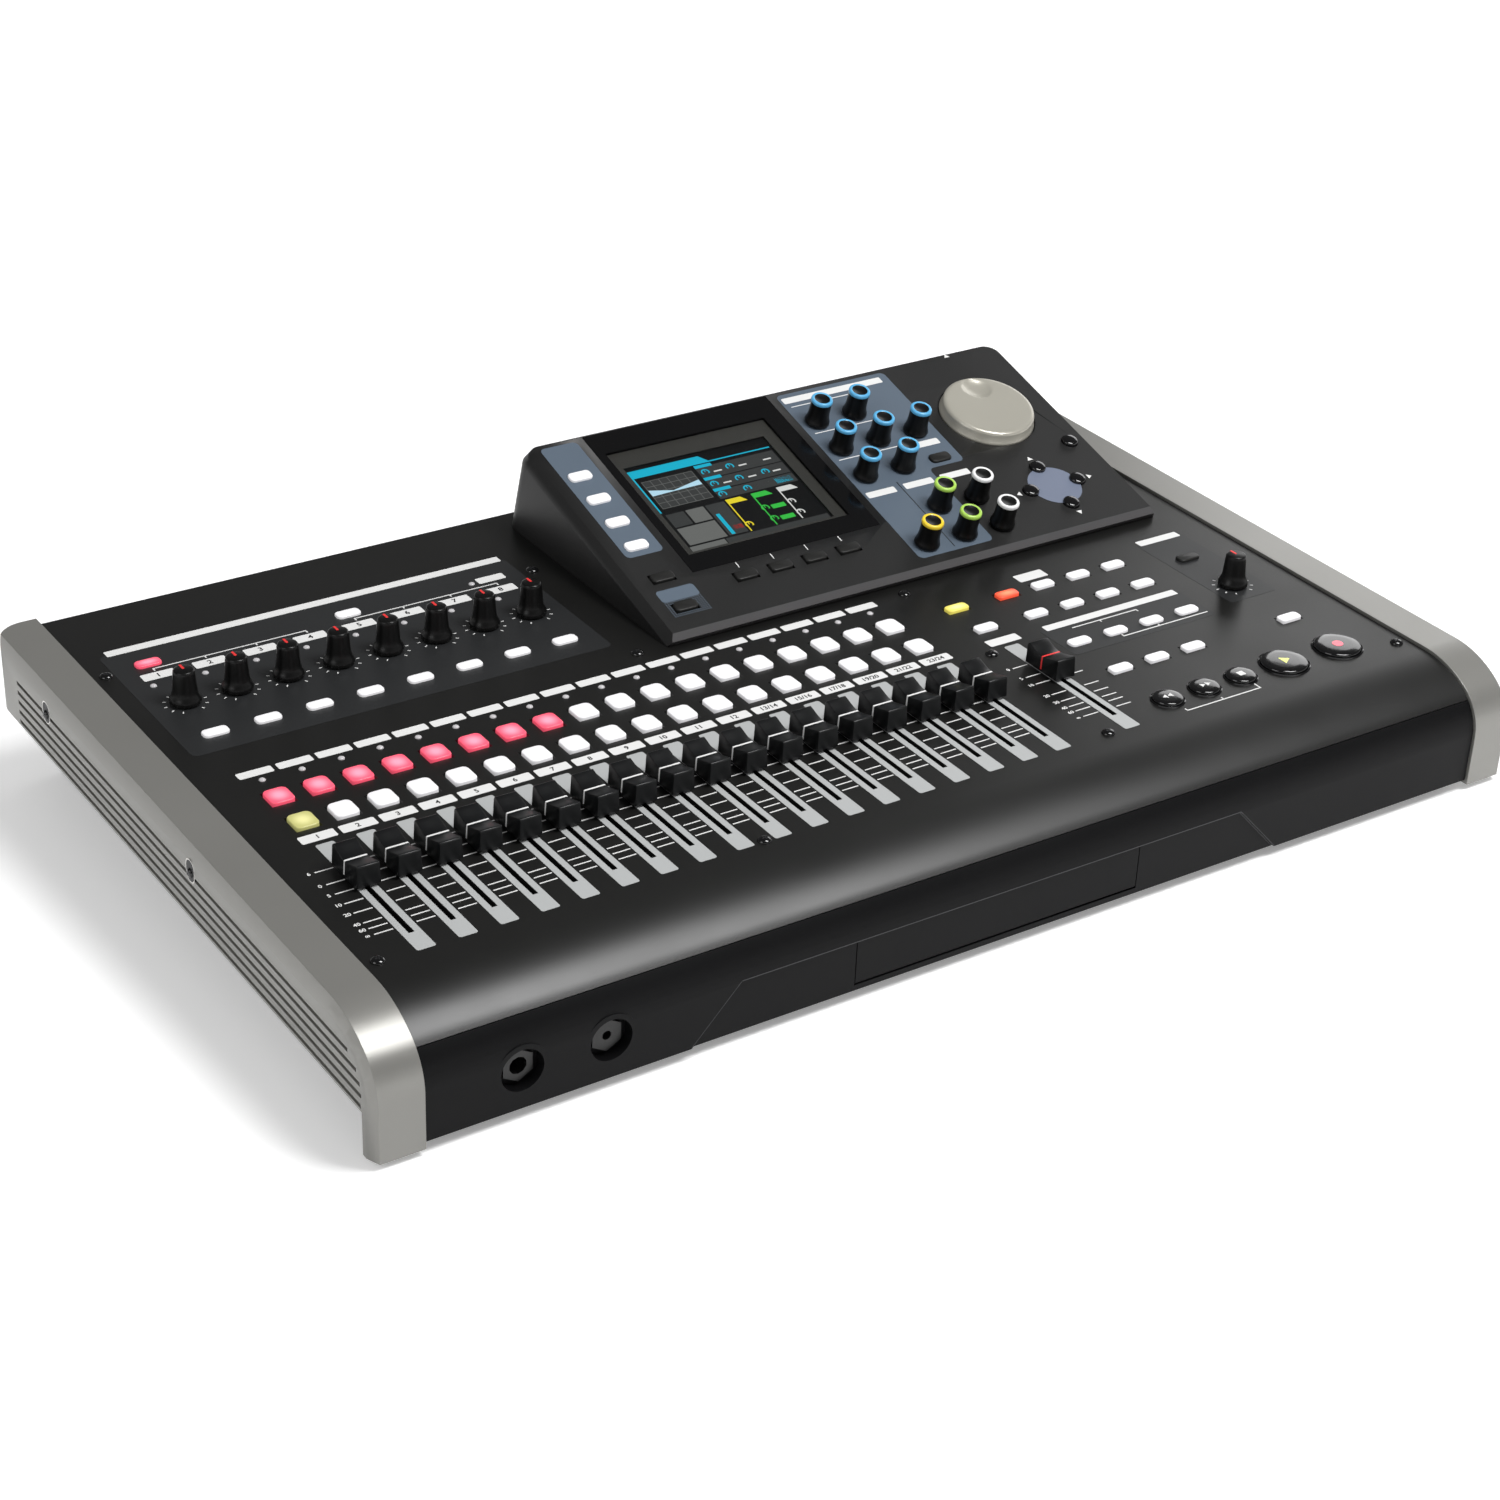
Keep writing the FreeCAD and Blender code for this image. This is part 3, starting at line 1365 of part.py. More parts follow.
def build_input_sockets():
    """Eight combined microphone and line sockets on one rear plate."""
    height = num("socket_height")
    wide = num("combo_wide")
    deep = num("combo_deep")
    plate = rear_plate(rear_windows[0])
    face = rear_wall - num("plate_thick")
    bodies = [
        Part.makeBox(wide, deep, wide, FreeCAD.Vector(x - wide / 2, face - deep, height - wide / 2))
        for x in combo_xs
    ]
    plate = plate.fuse(bodies)
    dish = num("combo_dish")
    sides = int(num("flute_count"))
    cuts = []
    for x in combo_xs:
        cuts.append(upright(x, height, rear_wall - dish, rear_wall + 1, num("combo_mouth"), sides))
        cuts.append(upright(x, height, rear_wall - deep, rear_wall + 1, num("jack_bore"), sides))
    item = doc.addObject("Part::Feature", "input_sockets")
    item.Shape = plate.cut(cuts)
    keep(item, "input_sockets", level)


def build_line_sockets():
    """The other sockets: line jacks, phono pairs, data ports and the power inlet, and the front pair."""
    sides = int(num("flute_count"))
    height = num("socket_height")
    plate = rear_plate(rear_windows[1])
    face = rear_wall - num("plate_thick")
    adds = []
    cuts = []
    block = num("jack_nut")
    for x in line_xs:
        for z in (height - num("pair_split") / 2, height + num("pair_split") / 2):
            adds.append(upright(x, z, rear_wall, rear_wall + num("jack_proud"), block, NUT_SIDES))
            adds.append(Part.makeBox(
                block, num("jack_deep"), block, FreeCAD.Vector(x - block / 2, face - num("jack_deep"), z - block / 2)
            ))
            near = face - num("jack_deep") + 1
            cuts.append(upright(x, z, near, near + num("jack_deep") * 2, num("jack_bore"), sides))
    for x in phono_xs:
        for z in (height - num("pair_split") / 2, height + num("pair_split") / 2):
            adds.append(upright(x, z, rear_wall, rear_wall + num("phono_long"), num("phono_wide"), sides))
    for x in midi_xs:
        adds.append(upright(x, height, rear_wall, rear_wall + num("midi_proud"), num("midi_wide"), ROUND_SIDES))
    deep = num("port_deep")
    adds.append(Part.makeBox(
        num("inlet_wide") * 3, deep, num("inlet_wide"),
        FreeCAD.Vector(usb_x - num("inlet_wide"), face - deep, height - num("inlet_wide") / 2),
    ))
    cuts.append(Part.makeBox(
        num("usb_wide"), deep, num("usb_tall"),
        FreeCAD.Vector(usb_x - num("usb_wide") / 2, rear_wall - deep, height - num("usb_tall") / 2),
    ))
    cuts.append(upright(inlet_x, height, rear_wall - deep, rear_wall + 1, num("inlet_bore"), sides))
    rear = plate.fuse(adds).cut(cuts)
    group("line_sockets", [rear] + build_front_jacks(), level)


def build_feet():
    """Four round rubber feet under the base."""
    tall = num("foot_tall")
    inset = num("foot_inset")
    feet = []
    for x in (inset - inner_half.value, inner_half.value - inset):
        for y in (rear_wall - inset, inset - rear_wall):
            levels = [(0, num("foot_wide") - tall / 2), (tall, num("foot_wide"))]
            feet.append(faceted(x, y, levels, KEY_SIDES * 2))
    group("feet", feet, level)


def build_switch():
    """The power rocker, a bar with a shallow V face that rocks on its own middle."""
    half = num("switch_tall") / 2
    out = num("switch_proud") + num("switch_deep")
    back = -num("switch_deep")
    points = [
        (back, -half), (out, -half), (out - num("switch_vee"), 0), (out, half), (back, half),
    ]
    ring_points = [FreeCAD.Vector(0, y, z) for y, z in points]
    face = Part.Face(Part.makePolygon(ring_points + ring_points[:1]))
    wide = num("switch_wide")
    face.translate(FreeCAD.Vector(-wide / 2, 0, 0))
    item = doc.addObject("Part::Feature", "power_switch")
    item.Shape = face.extrude(FreeCAD.Vector(wide, 0, 0))
    spot = FreeCAD.Vector(switch_x, rear_wall - num("switch_deep"), num("socket_height"))
    keep(item, "power_switch", FreeCAD.Placement(spot, FreeCAD.Rotation(ACROSS, num("switch_tilt"))))


build_panel()
build_fascia()
build_door()
build_end("left_end_panel", -1)
build_end("right_end_panel", 1)
build_chassis()
build_display()
build_window()
build_boards()
build_faders()
build_keys()
build_knobs()
build_jog()
build_input_sockets()
build_line_sockets()
build_feet()
build_switch()

doc.recompute()
for item in doc.Objects:
    if "Invalid" in item.State or "Error" in item.State:
        raise ValueError("%s: %s" % (item.Name, item.State))
for item in nodes:
    shape = item.Shape
    if shape.isNull() or not shape.isValid():
        raise ValueError("%s has no valid shape" % item.Label)
    shape.exportStep("parts/%s.step" % item.Label)
    print(item.Label, len(shape.Solids), round(shape.Volume, 1))
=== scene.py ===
# %% [markdown]
# A desktop multitrack recorder, dressed on top of its CAD model. The CAD model is loaded as a fixed
# frame, so every new piece is made in metres at the place where the real one sits. Nothing is fitted
# by eye afterwards, because both models share one origin.

# %% load the frame
import math

import bmesh
import bpy
from mathutils import Matrix, Vector


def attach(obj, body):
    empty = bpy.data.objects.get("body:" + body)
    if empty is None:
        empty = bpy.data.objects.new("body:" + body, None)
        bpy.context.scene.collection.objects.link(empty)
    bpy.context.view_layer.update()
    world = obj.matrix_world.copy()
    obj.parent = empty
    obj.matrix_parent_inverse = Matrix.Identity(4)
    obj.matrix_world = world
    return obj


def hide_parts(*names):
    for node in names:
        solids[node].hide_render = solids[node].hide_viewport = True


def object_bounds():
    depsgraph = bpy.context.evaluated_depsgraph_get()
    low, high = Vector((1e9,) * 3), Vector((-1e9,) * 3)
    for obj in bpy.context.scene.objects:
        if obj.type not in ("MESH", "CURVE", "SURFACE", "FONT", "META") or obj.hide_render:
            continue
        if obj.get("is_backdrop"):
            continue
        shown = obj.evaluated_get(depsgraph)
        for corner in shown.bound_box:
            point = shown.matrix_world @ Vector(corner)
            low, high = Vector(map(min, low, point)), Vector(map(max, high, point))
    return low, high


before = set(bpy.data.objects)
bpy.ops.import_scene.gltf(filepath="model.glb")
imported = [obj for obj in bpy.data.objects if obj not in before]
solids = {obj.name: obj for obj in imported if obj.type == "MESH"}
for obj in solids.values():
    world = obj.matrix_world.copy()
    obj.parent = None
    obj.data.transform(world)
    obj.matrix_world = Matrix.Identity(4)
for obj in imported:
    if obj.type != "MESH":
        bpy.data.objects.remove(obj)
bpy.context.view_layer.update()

# %% [markdown]
# Most controls stand on a panel that slopes by three degrees, and the display housing slopes more. It is
# easiest to think in millimetres on each of these surfaces, so a place is written as X across, Y up the
# slope and Z out of the surface, and one matrix turns it into metres in the room.

# %% surfaces that carry things
MM = 0.001


def turned_frame(start, *turns):
    """A surface's frame in metres, from its starting point and its turns in degrees."""
    place = Matrix.Translation(start)
    for degrees, axis in turns:
        place = place @ Matrix.Rotation(math.radians(degrees), 4, axis)
    return place


panel = turned_frame((0, -0.1140742, 0.052), (3, "X"))
housing = panel @ turned_frame((-0.030, 0.1326, 0.0055), (15.5, "X"))
front = panel @ turned_frame((0, -0.0524, 0), (90, "X"))
rear = turned_frame((0, 0.157353, 0), (180, "Z"), (90, "X"))


def at(surface, x, y, z=0.0, turn=0.0):
    """A place on a surface, for a shape drawn in millimetres."""
    spin = Matrix.Rotation(math.radians(turn), 4, "Z")
    return surface @ Matrix.Translation(Vector((x, y, z)) * MM) @ spin @ Matrix.Scale(MM, 4)


print("panel starts at", [round(v, 4) for v in panel.translation])

# %% [markdown]
# Where the rows and columns of controls are. Keeping them in one place means that a key, the white mark
# above it and the lamp beside it can't drift apart.

# %% rows and columns
strip_xs = [-214.0 + 16.0 * index for index in range(18)]
master_x = 91.8
slot_xs = strip_xs + [master_x]
trim_xs = [-214.0 + 21.6 * index for index in range(8)]
column_xs = [117.8 + 18.9 * index for index in range(4)]
last_x = 207.5
play_x = last_x - 28.8
rec_row, select_row, source_row, trim_row, phantom_row = 102.8, 83.0, 157.2, 184.2, 219.7
locate_row, punch_row, transport_row, rest_row = 54.6, 28.5, -0.6, 41.0
monitor_row, pill_row, lamp_row, blank_row = 63.5, 71.3, 116.9, 123.0
encoder_xs = [136.0, 156.0, 176.0]
soft_xs = [50.4 + 17.07 * index for index in range(4)]
jog_x, jog_row, cursor_row = 215.5, 79.5, 26.8
print(len(slot_xs), "fader slots", round(slot_xs[-1], 1), "is the last")

# %% [markdown]
# The camera comes first, because every later choice is judged through it. Its place was solved from the
# regular rows of keys: a short telephoto lens, a little above the recorder and off its left front corner.
# A camera looks along its own minus Z, so the columns of its matrix are its right, its up and its back.

# %% camera
def show(name, data):
    """Puts an object in the scene."""
    item = bpy.data.objects.new(name, data)
    bpy.context.collection.objects.link(item)
    return item


right = Vector((0.8354, -0.5484, 0.0365))
down = Vector((-0.2456, -0.4319, -0.8678))
ahead = Vector((0.4917, 0.7160, -0.4955))
stance = Matrix((right, -down, -ahead)).transposed().to_4x4()
lens = bpy.data.cameras.new("camera")
lens.sensor_width = 36
lens.lens = 72.12
lens.clip_start = 0.05
lens.clip_end = 30
camera = show("camera", lens)
camera.matrix_world = panel @ Matrix.Translation((-0.6019, -0.7616, 0.5597)) @ stance
bpy.context.scene.camera = camera
bpy.context.scene.view_settings.view_transform = "Standard"
print("camera stands at", [round(v, 3) for v in camera.matrix_world.translation])

# %% [markdown]
# A small language for shaders. A wrapped socket can be added, subtracted and multiplied like a number,
# and each sum quietly adds a Math node. Every other node is added by one method, so a finish reads as a
# recipe.

# %% shader sums
class Flow:
    """A value that flows from a node."""

    def __init__(self, finish, socket):
        self.finish = finish
        self.socket = socket

    def sum(self, operation, first, second):
        return self.finish.add("ShaderNodeMath", {"operation": operation}, {0: first, 1: second})

    def __add__(self, other):
        return self.sum("ADD", self, other)

    def __sub__(self, other):
        return self.sum("SUBTRACT", self, other)

    def __rsub__(self, other):
        return self.sum("SUBTRACT", other, self)

    def __mul__(self, other):
        return self.sum("MULTIPLY", self, other)

    __radd__ = __add__
    __rmul__ = __mul__


class Recipe:
    """A node tree in the making."""

    def __init__(self, tree):
        self.tree = tree

    def feed(self, node, values):
        for key, value in values.items():
            if isinstance(value, Flow):
                self.tree.links.new(value.socket, node.inputs[key])
            else:
                node.inputs[key].default_value = value

    def add(self, kind, settings=None, values=None, output=0):
        node = self.tree.nodes.new(kind)
        for key, value in (settings or {}).items():
            setattr(node, key, value)
        self.feed(node, values or {})
        return Flow(self, node.outputs[output])

    def noise(self, size, detail=2.0):
        """Cloudy grey whose spots are about one size, in millimetres."""
        place = self.add("ShaderNodeTexCoord", output="Object")
        values = {"Vector": place, "Scale": 1000.0 / size, "Detail": detail}
        return self.add("ShaderNodeTexNoise", None, values, "Fac")

    def blend(self, share, first, second):
        return self.add("ShaderNodeMix", {"data_type": "RGBA"}, {0: share, 6: first, 7: second}, 2)

    def bump(self, height, distance):
        values = {"Height": height, "Distance": distance * MM, "Strength": 1.0}
        return self.add("ShaderNodeBump", None, values)

    def ray(self, kind):
        return self.add("ShaderNodeLightPath", None, None, "Is %s Ray" % kind)

    def ramp(self, value, low, high, start=0.0, end=1.0, kind="SMOOTHSTEP"):
        """Brings a value from one span to another, softly unless told otherwise."""
        settings = {"interpolation_type": kind}
        return self.add("ShaderNodeMapRange", settings, {"Value": value, 1: low, 2: high, 3: start, 4: end})

    def length(self, vector):
        return self.add("ShaderNodeVectorMath", {"operation": "LENGTH"}, {0: vector}, "Value")


class Finish(Recipe):
    """A material, whose recipe ends in one Principled shader."""

    def __init__(self, name, fixed):
        self.material = bpy.data.materials.new(name)
        self.material.use_nodes = True
        super().__init__(self.material.node_tree)
        self.shader = self.tree.nodes["Principled BSDF"]
        self.feed(self.shader, fixed)


def tint(red, green, blue):
    """A colour as a paint chart gives it, from 0 to 255, in the linear form that shaders want."""
    shares = [part / 255 for part in (red, green, blue)]
    return (*[v / 12.92 if v < 0.04 else ((v + 0.055) / 1.055) ** 2.4 for v in shares], 1.0)


def scaled(colour, factor):
    """A darker or lighter shade of a colour."""
    return (*[min(v * factor, 1.0) for v in colour[:3]], 1.0)


print("white is", tint(255, 255, 255))

# %% [markdown]
# Moulded plastic and sprayed paint never have one flat colour. Both get a cloudy change of shade a few
# centimetres wide, a roughness that follows it, and a fine grain in the bump, at the size that the mould
# or the spray gun leaves.

# %% a family of satin finishes
def satin(name, colour, rough, grain=0.5, depth=0.02, spread=0.12, gloss=0.5, metal=0.0, coat=0.0):
    colour = tint(*colour)
    finish = Finish(name, {"Specular IOR Level": gloss, "Metallic": metal, "Coat Weight": coat})
    cloud = finish.noise(45.0)
    fine = finish.noise(grain, 3.0)
    shade = finish.blend(cloud * 0.7 + fine * 0.3, scaled(colour, 1 - spread), scaled(colour, 1 + spread))
    finish.feed(finish.shader, {
        "Base Color": shade,
        "Roughness": rough + (cloud - 0.5) * 0.10 + (fine - 0.5) * 0.08,
        "Normal": finish.bump(fine, depth),
    })
    return finish.material


panel_paint = satin("panel_paint", (18, 18, 17), 0.38, grain=0.6, depth=0.015)
panel_zone = satin("panel_zone", (36, 37, 38), 0.42, grain=0.6, depth=0.012, gloss=0.4)
fascia_paint = satin("fascia_paint", (15, 15, 16), 0.42, grain=0.8, depth=0.012, gloss=0.1)
tray_paint = satin("tray_paint", (22, 22, 22), 0.5, grain=0.7, gloss=0.3)
# A lighter grey, used as a painted highlight along the edge of the front opening.
painted_edge_highlight = satin("painted_edge_highlight", (60, 60, 62), 0.38, grain=0.8, depth=0.01, gloss=0.2)
end_paint = satin("end_paint", (136, 135, 131), 0.34, grain=0.35, depth=0.006, spread=0.05, metal=0.4)
housing_plastic = satin("housing_plastic", (27, 27, 27), 0.44, grain=0.7, gloss=0.4)
# A lighter copy of the housing plastic, used as a painted highlight on the housing's front faces.
housing_painted_highlight = satin("housing_painted_highlight", (74, 73, 74), 0.36, grain=0.7, depth=0.01)
blue_zone = satin("blue_zone", (84, 96, 109), 0.5, grain=0.6, depth=0.01, gloss=0.3)
disc_zone = satin("disc_zone", (106, 114, 132), 0.5, grain=0.6, depth=0.01, gloss=0.3)
bezel_black = satin("bezel_black", (9, 9, 10), 0.16, grain=0.9, depth=0.002, gloss=0.4)
surround_grey = satin("surround_grey", (62, 62, 59), 0.4, grain=0.6, depth=0.006, gloss=0.3)
knob_plastic = satin("knob_plastic", (12, 12, 12), 0.32, grain=0.4, depth=0.006, gloss=0.25)
cap_plastic = satin("cap_plastic", (15, 16, 17), 0.32, grain=0.4, depth=0.006, gloss=0.3)
gloss_black = satin("gloss_black", (12, 12, 13), 0.12, grain=0.9, depth=0.002, coat=0.3)
foot_rubber = satin("foot_rubber", (20, 20, 20), 0.8, grain=0.3, depth=0.04)
socket_plastic = satin("socket_plastic", (18, 18, 18), 0.4, grain=0.6)
board_green = satin("board_green", (28, 84, 52), 0.45, grain=0.9)
unit_steel = satin("unit_steel", (120, 120, 118), 0.4, grain=0.3, metal=1.0)
bright_steel = satin("bright_steel", (206, 204, 200), 0.24, grain=0.3, depth=0.003, metal=1.0)
jog_silver = satin("jog_silver", (176, 173, 162), 0.32, grain=0.25, depth=0.004, spread=0.04, metal=0.35)
white_ink = satin("white_ink", (216, 216, 215), 0.5, grain=0.4, depth=0.004, spread=0.03)
grey_ink = satin("grey_ink", (166, 168, 168), 0.5, grain=0.4, depth=0.004, spread=0.04)
# Dark ink prints numbers and lines. The same finish is also painted shade in screw recesses, socket holes,
# the side slots and the gap at the front opening.
dark_ink_and_painted_shade = satin("dark_ink_and_painted_shade", (24, 24, 26), 0.5, grain=0.4, depth=0.004)
red_ink = satin("red_ink", (220, 48, 48), 0.45, grain=0.4, depth=0.004)
lamp_grey = satin("lamp_grey", (188, 186, 188), 0.25, grain=0.6, depth=0.004, spread=0.04)
print(len(bpy.data.materials), "finishes so far")

# %% [markdown]
# Lit keys are translucent caps over a small lamp. The middle is brightest and the edge keeps the colour.
# Each key carries a UV map whose centre is the middle of the key, so one material lights them all alike.

# %% lit keys
def lit(name, rim, heart, glow):
    finish = Finish(name, {"Specular IOR Level": 0.5, "Roughness": 0.35, "Emission Strength": glow})
    edge = finish.ramp(finish.length(finish.add("ShaderNodeUVMap", {"uv_map": "face"})), 0.1, 1.05)
    skin = finish.blend(edge + (finish.noise(1.5) - 0.5) * 0.05, tint(*heart), tint(*rim))
    finish.feed(finish.shader, {"Base Color": skin, "Emission Color": skin})
    return finish.material


# The white finish glows faintly and is brightest in the middle. On the plain white keys, which are not lit,
# this is a painted glow.
key_white = lit("key_white", (222, 221, 223), (238, 237, 239), 0.2)
key_red = lit("key_red", (232, 82, 106), (250, 146, 166), 0.4)
key_cream = lit("key_cream", (178, 176, 110), (214, 210, 146), 0.25)
key_yellow = lit("key_yellow", (212, 198, 90), (244, 236, 150), 0.35)
key_orange = lit("key_orange", (234, 84, 56), (255, 138, 100), 0.4)
key_dark = satin("key_dark", (28, 28, 27), 0.4, gloss=0.3)
print("lit finishes", [m.name for m in bpy.data.materials if m.name.startswith("key_")])

# %% [markdown]
# Small shapes are drawn once, in millimetres, and stamped wherever they repeat. A stamp copies the shape
# into a larger mesh and moves only the new points, so thirty-six keys stay one object. Most pieces have a
# finish for the ground and one for what is printed or let into it.

# %% drawing and stamping
GROUND, INK = range(2)


def done(mesh_tool):
    """Turns a finished bmesh into a mesh."""
    bmesh.ops.recalc_face_normals(mesh_tool, faces=mesh_tool.faces)
    mesh = bpy.data.meshes.new("shape")
    mesh_tool.to_mesh(mesh)
    mesh_tool.free()
    return mesh


def stamp(target, shape, place, finish=None):
    """Copies a shape into a larger one. Without a finish, it keeps those that it has."""
    points = len(target.verts)
    sides = len(target.faces)
    target.from_mesh(shape)
    target.verts.ensure_lookup_table()
    target.faces.ensure_lookup_table()
    bmesh.ops.transform(target, matrix=place, verts=target.verts[points:])
    if finish is not None:
        for side in target.faces[sides:]:
            side.material_index = finish


def piece(name, tool, finishes, body="case", replaced=()):
    """Names a shape, gives it its finishes and lets it ride on a body of the CAD model."""
    mesh = bpy.data.meshes.new(name)
    tool.to_mesh(mesh)
    tool.free()
    for finish in finishes:
        mesh.materials.append(finish)
    mesh.shade_smooth()
    mesh.set_sharp_from_angle(angle=math.radians(40))
    item = show(name, mesh)
    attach(item, body)
    if replaced:
        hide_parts(*replaced)
    print(name, len(mesh.polygons), "faces")
    return item


def thicken(tool, height, way=Vector((0, 0, 1))):
    """Raises a flat outline into a plate."""
    raised = bmesh.ops.extrude_face_region(tool, geom=tool.faces[:])
    points = [part for part in raised["geom"] if isinstance(part, bmesh.types.BMVert)]
    bmesh.ops.translate(tool, vec=way * height, verts=points)


def soften(tool, parts, size, segments, kind="EDGES"):
    """Rounds edges, or the corners of a flat outline."""
    bmesh.ops.bevel(tool, geom=parts, offset=size, segments=segments, profile=0.5, affect=kind, material=-1)


def cut(tool, point, away, drop=False):
    """Cuts every face at a plane, and may drop what lies beyond it."""
    parts = tool.verts[:] + tool.edges[:] + tool.faces[:]
    bmesh.ops.bisect_plane(tool, geom=parts, dist=0.0001, plane_co=point, plane_no=away, clear_outer=drop)


def flat(wide, tall, corner):
    """A rounded rectangle."""
    tool = bmesh.new()
    bmesh.ops.create_grid(tool, x_segments=1, y_segments=1, size=0.5)
    bmesh.ops.scale(tool, vec=(wide, tall, 1), verts=tool.verts)
    if corner:
        soften(tool, tool.verts[:], corner, 4, "VERTICES")
    return tool


def plaque(wide, tall, corner=0.0, height=0.08):
    tool = flat(wide, tall, corner)
    thicken(tool, height)
    return done(tool)


def spot(wide, height=0.08, sides=20):
    tool = bmesh.new()
    bmesh.ops.create_circle(tool, cap_ends=True, segments=sides, radius=wide / 2)
    thicken(tool, height)
    return done(tool)


def turned(profile, steps, closed=False):
    """A lathe: the profile lists (radius, height) along the axis, or right round the section of a ring."""
    tool = bmesh.new()
    points = [tool.verts.new((radius, 0, height)) for radius, height in profile]
    for first, second in zip(points, points[1:] + (points[:1] if closed else [])):
        tool.edges.new((first, second))
    bmesh.ops.spin(
        tool, geom=tool.verts[:] + tool.edges[:], cent=(0, 0, 0), axis=(0, 0, 1), dvec=(0, 0, 0),
        angle=2 * math.pi, steps=steps, use_merge=True, use_normal_flip=False, use_duplicate=False,
    )
    bmesh.ops.remove_doubles(tool, verts=tool.verts, dist=0.0005)
    return tool


print("drawing tools ready")

# %% [markdown]
# The large mouldings keep their CAD shape. A copy is merged, and its flat triangles are joined into whole
# faces. The fascia and the end panels also get a bevel of a few tenths of a millimetre on each hard edge,
# because on a real moulding it is that bevel which catches the light.

# %% mouldings
def moulding(node, finish, edge=0.0, segments=2):
    tool = bmesh.new()
    tool.from_mesh(solids[node].data)
    bmesh.ops.remove_doubles(tool, verts=tool.verts, dist=0.000002)
    bmesh.ops.dissolve_limit(
        tool, angle_limit=math.radians(0.6), use_dissolve_boundaries=False, verts=tool.verts, edges=tool.edges
    )
    item = piece(node + "_finished", tool, [finish], "case", [node])
    if edge:
        bevel = item.modifiers.new("edges", "BEVEL")
        bevel.width = edge * MM
        bevel.segments = segments
        bevel.limit_method = "ANGLE"
        bevel.angle_limit = math.radians(32)
        bevel.use_clamp_overlap = True
        even = item.modifiers.new("even", "WEIGHTED_NORMAL")
        even.keep_sharp = True
        item.data.set_sharp_from_angle(angle=math.radians(80))
    return item


moulding("top_panel", panel_paint)
moulding("front_fascia", fascia_paint, edge=0.25)
moulding("left_end_panel", end_paint, edge=0.7, segments=3)
moulding("right_end_panel", end_paint, edge=0.7, segments=3)
wedge = moulding("display_housing", housing_plastic)
# The housing's front faces get the lighter finish as a painted highlight, though they are the same plastic as
# the rest.
wedge.data.materials.append(housing_painted_highlight)
to_housing = housing.inverted()
for side in wedge.data.polygons:
    centre = to_housing @ side.center
    foremost = centre.y < -0.1 * MM and centre.z > -6 * MM and side.area > 20 * MM * MM
    side.material_index = 1 if foremost else 0

# %% [markdown]
# The parts that are mostly hidden, and the door and the switch, are plain in the CAD model too. They keep
# their solids and only get a finish in place of the CAD colour.

# %% carried-over solids
for node, finish in (
    ("bottom_chassis", tray_paint), ("circuit_boards", board_green), ("fader_units", unit_steel),
    ("input_sockets", socket_plastic), ("line_sockets", socket_plastic), ("feet", foot_rubber),
    ("card_door", fascia_paint), ("power_switch", gloss_black),
):
    solids[node].data.materials.clear()
    solids[node].data.materials.append(finish)
print("carried-over solids have their finishes")

# %% [markdown]
# The keys are short blocks with rounded corners and a soft top edge. A UV map named "face" spans each key
# from minus one to one, which is how the lit finishes find the middle.

# %% key shapes
def mark_face(tool, wide, tall):
    """Lays a UV map over a key, from minus one to one."""
    layer = tool.loops.layers.uv.new("face")
    for side in tool.faces:
        for loop in side.loops:
            loop[layer].uv = (loop.vert.co.x / wide * 2, loop.vert.co.y / tall * 2)


key_foot = -4.0  # how deep a key reaches into its hole


def key_shape(wide, tall, corner, high):
    """A block with rounded corners and a soft top edge."""
    tool = flat(wide, tall, corner)
    thicken(tool, high - key_foot)
    bmesh.ops.translate(tool, vec=(0, 0, key_foot), verts=tool.verts)
    soften(tool, [edge for edge in tool.edges if min(v.co.z for v in edge.verts) > high - 0.01], 0.55, 3)
    mark_face(tool, wide, tall)
    return done(tool)


def button_shape(wide, high, dome):
    """A round push button with a slightly domed top."""
    radius = wide / 2
    side = [(0, key_foot), (radius, key_foot), (radius, high - 0.9)]
    shoulder = [(radius - 0.12, high - 0.45), (radius - 0.45, high - 0.15), (radius - 0.9, high)]
    top = [(radius * 0.6, high + dome * 0.6), (radius * 0.3, high + dome * 0.9), (0, high + dome)]
    tool = turned(side + shoulder + top, 40)
    mark_face(tool, wide, wide)
    return done(tool)


track_key = key_shape(9.6, 10.4, 2.4, 1.2)
small_key = key_shape(10.6, 5.4, 1.9, 1.2)
print("a key has", len(track_key.polygons), "faces")

# %% [markdown]
# Two rows of square keys follow the faders: the upper row arms a track and the lower row selects it. In
# the photograph the first eight are armed, so they glow red, and the first track is selected.

# %% track keys
PLAIN, ARMED, CHOSEN = range(3)
tool = bmesh.new()
for index, x in enumerate(strip_xs):
    stamp(tool, track_key, at(panel, x, rec_row), ARMED if index < 8 else PLAIN)
    stamp(tool, track_key, at(panel, x, select_row), CHOSEN if index == 0 else PLAIN)
finishes = [key_white, key_red, key_cream]
piece("track_keys", tool, finishes, "track_buttons_body", ["track_buttons"])

# %% [markdown]
# All the other keys on the panel share one flat, wide shape. Their places are gathered in one list first,
# each with its finish, and then stamped in one loop. Three of them are lit in a colour.

